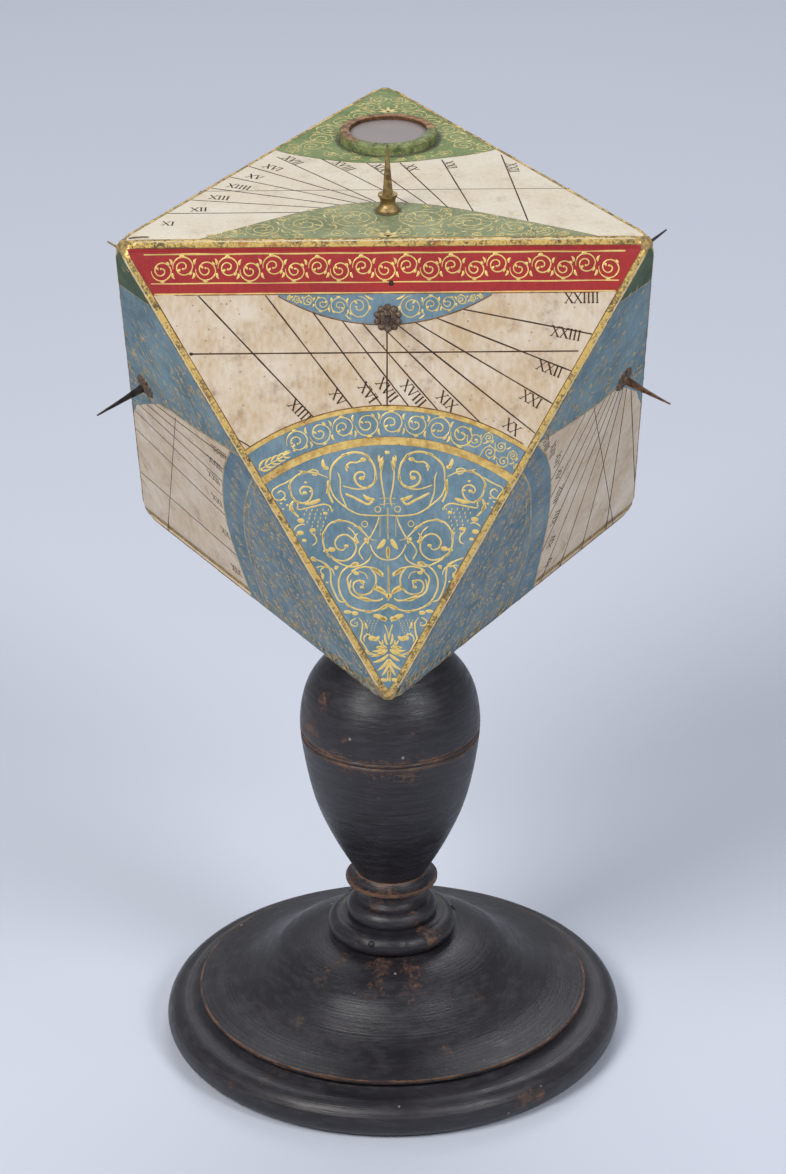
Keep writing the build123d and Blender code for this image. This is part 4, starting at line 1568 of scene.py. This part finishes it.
def edge_line(face, seed, width=0.34):
    """Brown line just inside the gold border."""
    lines = Strokes(face, seed, high=0.05)
    for a, b in sides_of(face.corners(face.border() + 0.05)):
        lines.stroke(in_between(a, b, 40), width, 0.6, 0.6, 0.6, 2.0)
    lines.keep_off(face.border())
    return lines


def red_head(face, seed):
    """Red band with fine gold lines at the head of a face that points down, and its running scroll."""
    slab(face.name + "_red_band", face, level_band(30.3, 44.4), red_paint(), wobble=0.25, seed=seed)
    lines = Strokes(face, seed + 1, high=0.08)
    lines.keep_off(face.border() + 0.3)
    lines.line([(u, 42.3 + 0.05 * math.sin(u * 0.3)) for u in range(-71, 72, 2)], 0.46, 0.6, 1.6)
    lines.line([(u, 33.7 + 0.05 * math.sin(u * 0.23)) for u in range(-69, 70, 2)], 0.5, 0.5, 1.6)
    lines.level_line(30.6, -80, 81, 4, 0.5, 0.5, 1.6)
    coils = [(-66.0 + 6.6 * i, 38.0 + (0.55 if i % 2 else -0.55), 2.9) for i in range(21)]
    rinceau(lines, coils, 0.5, 1, 180)
    lines.make(face.name + "_red_band_gold", shell_gold())


# Numerals of the front dial and their places
FRONT_LABELS = {
    14: ("XIIII", -25.4, -4.2), 15: ("XV", -14.1, -0.2), 16: ("XVI", -5.2, 1.1), 17: ("XVII", 0.4, 1.8),
    18: ("XVIII", 8.2, 0.7), 19: ("XIX", 18.1, -1.7), 20: ("XX", 37.3, -9.5), 21: ("XXI", 43.0, -1.2),
    22: ("XXII", 48.5, 7.8), 23: ("XXIII", 53.4, 18.2),
}
# Small scrolls at the right end of the blue band, and coils of the winter field: place, radius and hand
BAND_END_SCROLLS = ((26.4, -13.2, 2.5, 1), (30.4, -12.6, 1.5, -1), (30.6, -17.0, 2.0, -1),
                    (34.0, -15.2, 1.8, 1), (34.6, -19.6, 2.0, 1), (37.6, -18.0, 1.4, -1),
                    (38.9, -21.0, 1.2, 1))
WINTER_COILS = ((7.8, 26.3, 3.1), (13.6, 26.9, 2.5), (18.5, 27.5, 2.1), (22.6, 28.2, 1.5), (25.8, 28.8, 1.0),
                (28.2, 29.2, 0.6))


def front_band_scrolls(face, middle):
    """Gold scrolls of the blue band round the lower field, and of the winter field."""
    gold = Strokes(face, 47)
    gold.keep_off(face.border() + 0.3)
    rinceau(gold, [(*polar(*middle, 69.2, 112.6 - 5.9 * i), 3.2) for i in range(8)], 0.46, -1, 200)
    for u, v, radius, hand in BAND_END_SCROLLS:
        gold.scroll((u - radius * 1.6, v + hand * radius * 0.7), u, v, radius, 150, hand * 1.6, 0.4)
        gold.leaf(u + radius * 0.9, v - radius * 0.4, -50 + hand * 40, radius * 0.9, 0.6, hand * 40)
    for along in range(5):
        u = -37.6 + along * 1.75
        v = -21.4 + along * 0.95
        gold.leaf(u, v, 92 - along * 4, 3.9 - along * 0.3, 0.85, -38)
        gold.leaf(u, v, -34 - along * 2, 3.6 - along * 0.3, 0.85, 40)
    gold.leaf(-30.4, -17.4, 28, 2.6, 0.8)
    gold.stroke([(-38.6, -22.2), (-34.0, -19.6), (-30.2, -17.4)], 0.46)
    for spot in ((-28.0, -13.8), (-27.2, -16.0)):
        gold.dot(*spot, 0.42)
    for hand in (1, -1):
        rinceau(gold, [(hand * u, v, radius) for u, v, radius in WINTER_COILS], 0.4, hand, 90)
        gold.leaf(hand * 3.4, 28.6, 90 - hand * 80, 3.0, 0.8, hand * 20)
        gold.leaf(hand * 10.0, 22.8, 90 - hand * 70, 2.4, 0.6, hand * 20)
    gold.make("front_band_scrolls", shell_gold())


class SUNDIAL_OT_front(bpy.types.Operator):
    """Paint the dial on the front face."""

    bl_idname = "sundial.front"
    bl_label = "Front dial"

    def execute(self, context):
        face = faces["front"]
        paint_face(face, shaded_front_ground())
        red_head(face, 31)
        middle = (0.3, -77.2)
        winter = (0.0, 82.6)
        band_low = 30.4
        slab("front_lower_field", face, below_arc(*middle, 63.0), blue_paint(), seed=3)
        slab("front_lower_band", face, closed_arc(*middle, 65.1, 62.8), band_gold(), 0.06, 0.12, seed=4)
        slab("front_tropic_band", face, closed_arc(*middle, 73.3, 65.0), blue_paint(), seed=5)
        slab("front_upper_band", face, closed_arc(*middle, 74.3, 73.0), band_gold(), 0.06, 0.12, seed=6)
        segment = [p for p in arc_points(*winter, 61.4, 200, 340) if p[1] < band_low]
        segment += [(segment[-1][0], band_low), (segment[0][0], band_low)]
        slab("front_winter_field", face, segment, blue_paint(), seed=7)
        width = sizes().hour_line / MM
        size = sizes().numeral / MM
        drawn = Strokes(face, 41, high=0.06)
        hour_lines(drawn, side_gnomons["front"], range(13, 24),
                   [level_band(30.3, 150), below_arc(*middle, 74.4), segment], FRONT_LABELS, size)
        numeral(drawn, "XXIIII", 58.1, 28.6, 0.0, size)
        drawn.keep_off(face.border())
        drawn.dot(-57.4, 12.9, 0.6)
        drawn.level_line(12.9, -63, 64, 3, width)
        drawn.line([(0.5, 21.0), (0.5, 12), (0.4, 4), (0.4, -2.7)], width)
        drawn.make("front_hour_lines", ink())
        brown = edge_line(face, 43)
        for radius, thick in ((74.45, 0.5), (73.0, 0.22), (65.15, 0.3), (62.85, 0.34), (64.2, 0.14)):
            brown.line(arc_points(*middle, radius, 40, 140, 2.0), thick, 0.4, 1.5)
        brown.line([p for p in arc_points(*winter, 61.5, 200, 340, 2.0) if p[1] < 30.2], 0.55, 0.4, 1.5)
        brown.level_line(30.2, -62, 64, 4, 0.22, 0.4, 1.6)
        brown.make("front_brown_lines", brown_line())
        front_scrollwork()
        front_band_scrolls(face, middle)
        return {"FINISHED"}


# Edges of the green fields of the top face
NEAR_EDGE = ((-57.5, -46.8), (-50.8, -42.0), (-44.3, -37.0), (-32.4, -28.2), (-22.6, -21.8),
             (-12, -17.0), (-2.0, -15.2), (7.5, -16.2), (18.0, -19.4), (32.4, -26.6), (42.3, -32.2),
             (52.0, -37.8), (61.0, -43.4), (66, -46.8))
FAR_EDGE = ((-36.5, 33.0), (-30.9, 28.3), (-25.0, 24.9), (-19.0, 22.2), (-13.5, 20.2), (-7.6, 18.9),
            (1.6, 18.6), (7.8, 19.6), (12.9, 20.9), (23.2, 24.1), (29.5, 26.8), (34.7, 29.9), (38, 32.4))
# Numerals of the top dial and their places
TOP_LABELS = {
    12: ("XII", -55.7, -20.2), 13: ("XIII", -49.9, -10.4), 14: ("XIIII", -44.3, -1.2), 15: ("XV", -39.7, 7.2),
    16: ("XVI", -34.3, 15.1),
}
# Hour lines of the top dial between the two green fields: numeral, its place and the line's ends
TOP_LINES = (
    ("XVII", (-28.3, 21.4), (-33.2, 24.4), (-2.6, -15.1)),
    ("XVIII", (-12.5, 16.2), (-19.6, 22.6), (7.4, -16.6)),
    ("XIX", (-1.2, 14.3), (-5.5, 18.6), (12.7, -17.5)),
    ("XX", (8.3, 14.1), (4.7, 18.4), (19.1, -20.4)),
    ("XXI", (20.1, 16.4), (17.5, 21.0), (26.5, -23.3)),
    ("XXII", (39.3, 13.4), (36.0, 24.7), (42.7, -31.8)),
)
# Coils of the near and the far field, to the right of the axis: place and radius
NEAR_COILS = ((10.2, -29.0, 7.0), (24.4, -33.2, 6.6), (37.2, -37.4, 5.2), (46.4, -40.4, 3.0),
              (51.8, -42.2, 1.6))
FAR_COILS = ((29.4, 31.0, 2.5), (23.8, 33.9, 3.5), (21.4, 41.2, 3.9), (18.6, 48.8, 3.9), (14.2, 55.8, 3.9),
             (8.6, 61.8, 3.9), (6.2, 69.6, 3.6), (3.0, 76.0, 2.6))
# Small scrolls of the same fields: place, radius, first angle and turns
NEAR_SCROLLS = ((5.0, -40.4, 3.0, 60, 1.5), (14.6, -40.8, 2.6, 120, -1.5), (26.5, -42.4, 1.6, 90, 1.4),
                (31.5, -28.4, 1.7, 200, 1.4), (17.6, -22.9, 2.0, 200, -1.4), (33.0, -43.0, 1.4, 90, -1.4))
FAR_SCROLLS = ((17.6, 26.8, 2.4, 60, -1.5), (10.4, 22.9, 1.9, 90, 1.4), (4.0, 21.4, 1.5, 60, -1.4),
               (3.4, 60.2, 2.2, 20, -1.4))


def top_scrollwork(face, near_zone, far_zone):
    """Gold scrollwork of the two green fields of the top."""
    axis = compass_place[0]
    limit = face.corners(face.border())
    gold = Strokes(face, 57)
    gold.limit = lambda u, v: (face.from_edge(u, v) > face.border() + 0.3
                               and math.dist((u, v), compass_place) > 15.6
                               and math.dist((u, v), brass_place) > 3.6)
    for hand in (1, -1):
        for coils, way, turns, scrolls, width in ((NEAR_COILS, hand, 2.3, NEAR_SCROLLS, 0.36),
                                                  (FAR_COILS, -hand, 2.0, FAR_SCROLLS, 0.34)):
            rinceau(gold, [(axis + hand * u, v, r) for u, v, r in coils], 0.38, way, 90 + hand * 60, turns)
            for u, v, radius, first, wound in scrolls:
                gold.scroll((axis + hand * (u - radius * 1.5), v - radius), axis + hand * u, v, radius,
                            first if hand > 0 else 180 - first, wound * hand, width)
    gold.bud(axis, -44.0, 90, 6.0, 5, 26)
    gold.bud(axis, 64.6, 90, 5.0, 5, 30)
    chance = gold.chance
    for low_v, high_v, count in ((20, 84, 420), (-45, -16, 430)):
        for _ in range(count):
            u = chance.uniform(-58, 58)
            v = chance.uniform(low_v, high_v)
            if (holds(far_zone, u, v) or holds(near_zone, u, v)) and holds(limit, u, v):
                gold.leaf(u, v, chance.uniform(0, 360), chance.uniform(1.0, 2.8), 0.36,
                          chance.uniform(-80, 80))
    gold.make("top_scrollwork", green_gold())


class SUNDIAL_OT_top(bpy.types.Operator):
    """Paint the dial on the top face."""

    bl_idname = "sundial.top"
    bl_label = "Top dial"

    def execute(self, context):
        face = faces["top"]
        paint_face(face, top_ground(), holes=((*compass_place, compass_hole),))
        near = smooth_path(NEAR_EDGE, 1.2)
        far = smooth_path(FAR_EDGE, 1.2)
        near_zone = near + [(66, -60), (-57.5, -60)]
        far_zone = far + [(38, 100), (-36.5, 100)]
        opening = arc_points(*compass_place, compass_hole, 0, 350, 1.5)
        slab("top_near_field", face, near_zone, near_green_paint(), seed=11)
        slab("top_far_field", face, far_zone, green_paint(), holes=(opening,), seed=12)
        width = sizes().hour_line / MM
        size = sizes().numeral / MM
        drawn = Strokes(face, 51, high=0.06)
        hour_lines(drawn, (-1.3, -22.6, 18.2), range(12, 17), [near_zone, far_zone], TOP_LABELS, size)
        for text, spot, a, b in TOP_LINES:
            drawn.line(in_between(a, b, 8), width)
            numeral(drawn, text, *spot, math.radians(direction(a, b)), size)
        numeral(drawn, "XI", -64.4, -31.7, -0.1, size)
        drawn.stroke([(-76.0, -43.0), (-72.0, -42.3), (-69.6, -42.4)], width * 1.2, 0.5, 0.5, 0.3, 0.8)
        drawn.level_line(-4.8, -56, 57, 4, width * 0.6)
        drawn.make("top_hour_lines", ink())
        brown = edge_line(face, 53, 0.24)
        brown.line(near, 0.34, 0.4, 1.5)
        brown.line(far, 0.34, 0.4, 1.5)
        brown.make("top_brown_lines", brown_line())
        top_scrollwork(face, near_zone, far_zone)
        # Dark patches round the foot of the brass gnomon and of the compass rim, set a little towards the
        # front: grime, and painted shade where the raised parts meet the face
        slab("gnomon_grime_and_shade", face, arc_points(brass_place[0], brass_place[1] - 0.2, 4.4, 0, 350, 0.8),
             grime_and_shade_paint(), 0.045, 0.35, seed=15)
        slab("compass_grime_and_shade", face, arc_points(compass_place[0], compass_place[1] - 0.7, 16.6, 0, 350, 1.5),
             grime_and_shade_paint(), 0.045, 0.5, holes=(opening,), seed=16)
        return {"FINISHED"}


# Fields of the side faces, as points along their edges, with the numerals and their places
SIDE_PLANS = {
    "front_left": {
        "bound": [(-62, 23.0), (-24.2, 23.9), (-9.2, 25.4), (6.7, 25.7), (29.4, 27.9), (60, 30.0)],
        "patch": [(-52.5, 3.5), (-41.0, 14.5), (-27.7, 20.6), (-18.5, 24.5), (-30, 26), (-70, 26), (-70, 0)],
        "outer": [(31, 29), (28.3, 26.3), (17.9, 15.9), (7.6, 1.8), (-0.1, -13.7), (-3.5, -29.3),
                  (-5.1, -50)],
        "inner": [(44, 25), (38.3, 20.4), (23.3, 4.2), (13.6, -10.3), (8.7, -22.8), (6.1, -35.0),
                  (4.7, -50)],
        "close": [(90, -60), (90, 30)], "equator": [(-8.4, 23.6), (-66.0, -50.2)],
        "hours": range(17, 25), "lean": -60,
        "labels": {24: ("XXIIII", 19.5, 22.4), 23: ("XXIII", 11.2, 14.6), 22: ("XXII", 4.6, 6.2),
                   21: ("XXI", -0.8, -5.0), 20: ("XX", -5.6, -20.0), 19: ("XIX", -9.8, -37.0)},
    },
    "front_right": {
        "bound": [(-60, 33), (-34.8, 31.7), (-14.6, 29.8), (2.6, 29.0), (20.9, 29.5), (62, 28)],
        "patch": [(48.5, 8.5), (36.6, 20.2), (27.0, 25.5), (18.0, 30.0), (30, 31), (70, 31), (70, 4)],
        "outer": [(-37, 33.5), (-34.1, 30.5), (-23.4, 22.0), (-13.8, 10.7), (-5.2, -3.2), (1.8, -18.4),
                  (9.7, -43.0), (11, -50)],
        "inner": [(-46, 27), (-40.0, 23.2), (-28.8, 12.9), (-20.2, 0.8), (-11.5, -14.0), (-6.0, -29.8),
                  (-4.8, -50)],
        "close": [(-90, -60), (-90, 35)], "equator": [(2.3, 29.1), (64.5, -45.0)],
        "hours": range(9, 20), "lean": -120,
        "labels": {18: ("XVIII", -27.5, 28.0), 17: ("XVII", -20.0, 22.6), 16: ("XVI", -12.4, 15.6),
                   15: ("XV", -6.4, 7.4), 14: ("XIIII", 0.2, -3.4), 13: ("XIII", 5.8, -15.2),
                   12: ("XII", 10.6, -27.0), 11: ("XI", 15.6, -37.6)},
    },
}


def even(path, count):
    """Points spaced by share along a path."""
    return [path[min(len(path) - 1, int(i / (count - 1) * (len(path) - 1)))] for i in range(count)]


def side_scrollwork(face, plan, seed, zones, outer, inner):
    """Tarnished gold flecks of a side face's fields, and the curls of its corner band."""
    inner_zone, upper_zone, patch = zones
    gold = Strokes(face, seed)
    lean = plan["lean"]

    def fewer_above(_, v):
        return 0.85 - 0.7 * max(0.0, min(1.0, (v - 40) / 26))

    flecks(gold, inner_zone, 3.3, 0.66, lean, 0.3)
    flecks(gold, upper_zone, 3.4, 0.66, lean, 0.22, fewer_above)
    flecks(gold, patch, 3.0, 0.55, lean, 0.1)
    middle = [((a[0] + b[0]) / 2, (a[1] + b[1]) / 2) for a, b in zip(even(outer, 60), even(inner, 60))]
    gold.keep_off(face.border() + 0.5)
    for index in range(2, 56, 4):
        spot = middle[index]
        turn = direction(spot, middle[index + 1])
        gold.stroke(coil(*spot, 2.3, turn + 120, 1.3 if index % 8 else -1.3, 0.2), 0.42)
        gold.leaf(*spot, turn + 60, 3.0, 0.7, 40)
        gold.leaf(*spot, turn - 110, 2.6, 0.7, -40)
    gold.make(face.name + "_scrollwork", dull_gold())


class SUNDIAL_OT_sides(bpy.types.Operator):
    """Paint the dials on the two faces beside the front that point up."""

    bl_idname = "sundial.sides"
    bl_label = "Side dials"

    def execute(self, context):
        drawn_height = 18.3
        tip_level = 73.0
        for (name, plan), seed, shift in zip(SIDE_PLANS.items(), (61, 71), (2.2, -2.2)):
            face = faces[name]
            limit = face.corners(face.border())
            paint_face(face, cream_ground())
            bound, outer, inner = (smooth_path(plan[key], 1.5) for key in ("bound", "outer", "inner"))
            upper_zone = bound + [(70, 120), (-70, 120)]
            corner_zone = outer + plan["close"]
            slab(name + "_upper_field", face, upper_zone, grey_blue_paint(), seed=seed)
            slab(name + "_tip_field", face, level_band(tip_level, 150), dark_green_paint(), 0.05, 0.3,
                 seed=seed + 1)
            slab(name + "_corner_field", face, corner_zone, blue_paint(), 0.035, seed=seed + 2)
            slab(name + "_patch", face, plan["patch"], grey_blue_paint(), 0.05, 0.3, seed=seed + 3)
            drawn = Strokes(face, seed + 4, high=0.06)
            hour_lines(drawn, (*side_gnomons[name][:2], drawn_height), plan["hours"],
                       [upper_zone, corner_zone, plan["patch"]], plan["labels"], sizes().numeral / MM * 0.92)
            drawn.limit = lambda u, v: face.from_edge(u, v) > face.border() and not holds(plan["patch"], u, v)
            drawn.line(in_between(*plan["equator"], 30), 0.34)
            drawn.make(name + "_hour_lines", ink())
            brown = edge_line(face, seed + 5)
            brown.line(outer, 0.5, 0.4, 1.5)
            brown.make(name + "_brown_lines", brown_line())
            gold = Strokes(face, seed + 6)
            gold.keep_off(face.border())
            tip = [(u, tip_level) for u in range(-12, 13, 2)]
            shifted = [(u + shift, v - 0.9) for u, v in inner]
            for path, width in ((bound, 0.9), (outer, 0.8), (inner, 1.0), (tip, 0.5), (shifted, 0.4)):
                gold.line(path, width, 0.4, 1.2)
            gold.make(name + "_gold_lines", dull_gold())
            zones = [trimmed(zone, limit) for zone in (inner + plan["close"], upper_zone, plan["patch"])]
            side_scrollwork(face, plan, seed + 7, zones, outer, inner)
        return {"FINISHED"}


class SUNDIAL_OT_rear(bpy.types.Operator):
    """Paint the faces that are seen from behind, and the underside."""

    bl_idname = "sundial.rear"
    bl_label = "Rear faces"

    def execute(self, context):
        for name, hand, seed in (("back_right", 1, 81), ("back_left", -1, 91)):
            face = faces[name]
            paint_face(face, cream_ground())
            red_head(face, seed)
            middle = (hand * 6.0, -82.0)
            lower = below_arc(*middle, 66.0, 10, 170)
            slab(name + "_lower_field", face, lower, blue_paint(), seed=seed + 1)
            ring = closed_arc(*middle, 68.2, 65.8, 10, 170)
            slab(name + "_lower_band", face, ring, band_gold(), 0.06, 0.12, seed=seed + 2)
            drawn = Strokes(face, seed + 3, high=0.06)
            hour_lines(drawn, side_gnomons[name], range(8, 25),
                       [level_band(30.0, 150), below_arc(*middle, 68.4, 10, 170)])
            drawn.make(name + "_hour_lines", ink())
            edge_line(face, seed + 4).make(name + "_brown_lines", brown_line())
            gold = Strokes(face, seed + 5)
            flecks(gold, trimmed(lower, face.corners(face.border())), 3.0, 0.45, -90, 0.3)
            gold.make(name + "_scrollwork", shell_gold())

        face = faces["back"]
        paint_face(face, cream_ground())
        field_low = 24.0
        field = level_band(field_low, 150)
        low = arc_points(0, 74, 74.0, 180, 360) + [(90, -120), (-90, -120)]
        slab("back_upper_field", face, field, grey_blue_paint(), seed=102)
        slab("back_lower_field", face, low, blue_paint(), seed=103)
        gold = Strokes(face, 101)
        for zone, lean in ((field, -90), (low, 90)):
            flecks(gold, trimmed(zone, face.corners(face.border())), 3.0, 0.4, lean)
        gold.keep_off(face.border())
        gold.line(arc_points(0, 74, 74.2, 190, 350), 1.4, 0.4, 1.2)
        gold.level_line(field_low, -60, 61, 3, 1.4, 0.4, 1.2)
        drawn = Strokes(face, 104, high=0.06)
        hour_lines(drawn, side_gnomons["back"], range(1, 25), [field, low])
        drawn.make("back_hour_lines", ink())
        edge_line(face, 105).make("back_brown_lines", brown_line())
        gold.make("back_scrollwork", shell_gold())

        face = faces["bottom"]
        paint_face(face, blue_paint(), holes=((0, 0, peg_hole),))
        edge_line(face, 115).make("bottom_brown_lines", brown_line())
        return {"FINISHED"}


def side_spike(name, bend, lift, iron, seed):
    """Forged square spike, a little bent."""
    face = faces[name]
    right, up, height = side_gnomons[name]
    vertices = []
    count = 22
    for index in range(count + 1):
        share = index / count
        half = 1.12 + (0.175 - 1.12) * share ** 0.72
        turn = 45 + 5 * math.sin(share * 5 + seed)
        u = right + bend * share ** 2.2
        v = up + lift * share ** 1.6
        for corner in range(8):
            reach = half * (1.36 if corner % 2 == 0 else 1.06)
            reach *= 1 + 0.07 * noise.noise(Vector((share * 9, corner * 1.7, seed)))
            vertices.append(face.at(*polar(u, v, reach, turn + 45 * corner), share * height * 0.985 - 0.1))
    spike = new_piece("spike_" + name, vertices, tube(0, count + 1, 8), iron, slot="dark_iron",
                      replaced="gnomon_" + name)
    spike.data.set_sharp_from_angle(angle=math.radians(28))


def petal_washer(name, seed):
    """Round washer with ten raised petals and a domed collar."""
    face = faces[name]
    right, up, _ = side_gnomons[name]
    vertices = []
    polygons = []

    def dome(u, v, radius, base, height, sides, levels):
        start = len(vertices)
        for level in range(levels + 1):
            angle = math.pi / 2 * level / levels
            for side in range(sides):
                reach = radius * math.cos(angle * 0.96)
                reach *= 1 + 0.06 * noise.noise(Vector((side * 0.8, level, seed + u)))
                spot = polar(u, v, reach, 360 * side / sides)
                vertices.append(face.at(*spot, base + height * math.sin(angle)))
        polygons.extend(tube(start, levels + 1, sides))

    for index in range(10):
        dome(*polar(right, up, 3.15, 36 * (index + 0.5)), 1.12, 0.0, 0.78, 12, 3)
    dome(right, up, 3.7, 0.0, 0.5, 32, 3)
    dome(right, up, 2.55, 0.0, 0.95, 28, 3)
    dome(right, up, 1.75, 0.5, 1.05, 20, 4)
    new_piece("washer_" + name, vertices, polygons, washer_metal(), slot="dark_iron",
              replaced="rosette_" + name)


class SUNDIAL_OT_spikes(bpy.types.Operator):
    """Forge the iron gnomons of the side faces and their petalled washers."""

    bl_idname = "sundial.spikes"
    bl_label = "Iron gnomons"

    def execute(self, context):
        bends = ((0.0, 0.0), (0.7, 0.2), (-0.3, 1.7), (0.3, 0.2), (0.3, 0.1), (-0.3, -0.2))
        for index, (name, (bend, lift)) in enumerate(zip(side_faces, bends)):
            iron = {"front_right": warm_iron, "back_left": old_brass}.get(name, spike_iron)()
            side_spike(name, bend, lift, iron, index)
            petal_washer(name, index)
        return {"FINISHED"}


class SUNDIAL_OT_metal(bpy.types.Operator):
    """Finish the brass gnomon, the pin in the red band and the compass."""

    bl_idname = "sundial.metal"
    bl_label = "Brass gnomon and compass"

    def execute(self, context):
        for node in ("gnomon_top", "compass_bowl", "compass_pivot", "needle_cap"):
            dress(node, old_brass())
        dress("band_pin", nail_iron())
        dress("compass_rim", gilt_copper())
        dress("compass_glass", old_glass())
        dress("glass_packing", leather())
        dress("compass_card", card())
        dress("compass_needle", blued_steel())
        return {"FINISHED"}


class SUNDIAL_PT_panel(bpy.types.Panel):
    """Steps and settings of the sundial."""

    bl_idname = "SUNDIAL_PT_panel"
    bl_label = "Painted sundial"
    bl_space_type = "VIEW_3D"
    bl_region_type = "UI"
    bl_category = "Sundial"

    def draw(self, context):
        layout = self.layout
        for step in STEPS:
            layout.operator(step.bl_idname)
        for group_name in ("sundial_sizes", "sundial_colours"):
            settings = getattr(context.scene, group_name)
            box = layout.box()
            for key in settings.bl_rna.properties.keys():
                if key not in ("rna_type", "name"):
                    box.prop(settings, key)


STEPS = (SUNDIAL_OT_stage, SUNDIAL_OT_foot, SUNDIAL_OT_stem, SUNDIAL_OT_vase, SUNDIAL_OT_neck,
         SUNDIAL_OT_core, SUNDIAL_OT_front, SUNDIAL_OT_top, SUNDIAL_OT_sides, SUNDIAL_OT_rear,
         SUNDIAL_OT_spikes, SUNDIAL_OT_metal)


def register():
    for kind in (Colours, Sizes, *STEPS, SUNDIAL_PT_panel):
        bpy.utils.register_class(kind)
    bpy.types.Scene.sundial_colours = bpy.props.PointerProperty(type=Colours)
    bpy.types.Scene.sundial_sizes = bpy.props.PointerProperty(type=Sizes)


def unregister():
    del bpy.types.Scene.sundial_sizes
    del bpy.types.Scene.sundial_colours
    for kind in reversed((Colours, Sizes, *STEPS, SUNDIAL_PT_panel)):
        bpy.utils.unregister_class(kind)


def main():
    register()
    for step in STEPS:
        family, action = step.bl_idname.split(".")
        getattr(getattr(bpy.ops, family), action)()


if __name__ == "__main__":
    main()
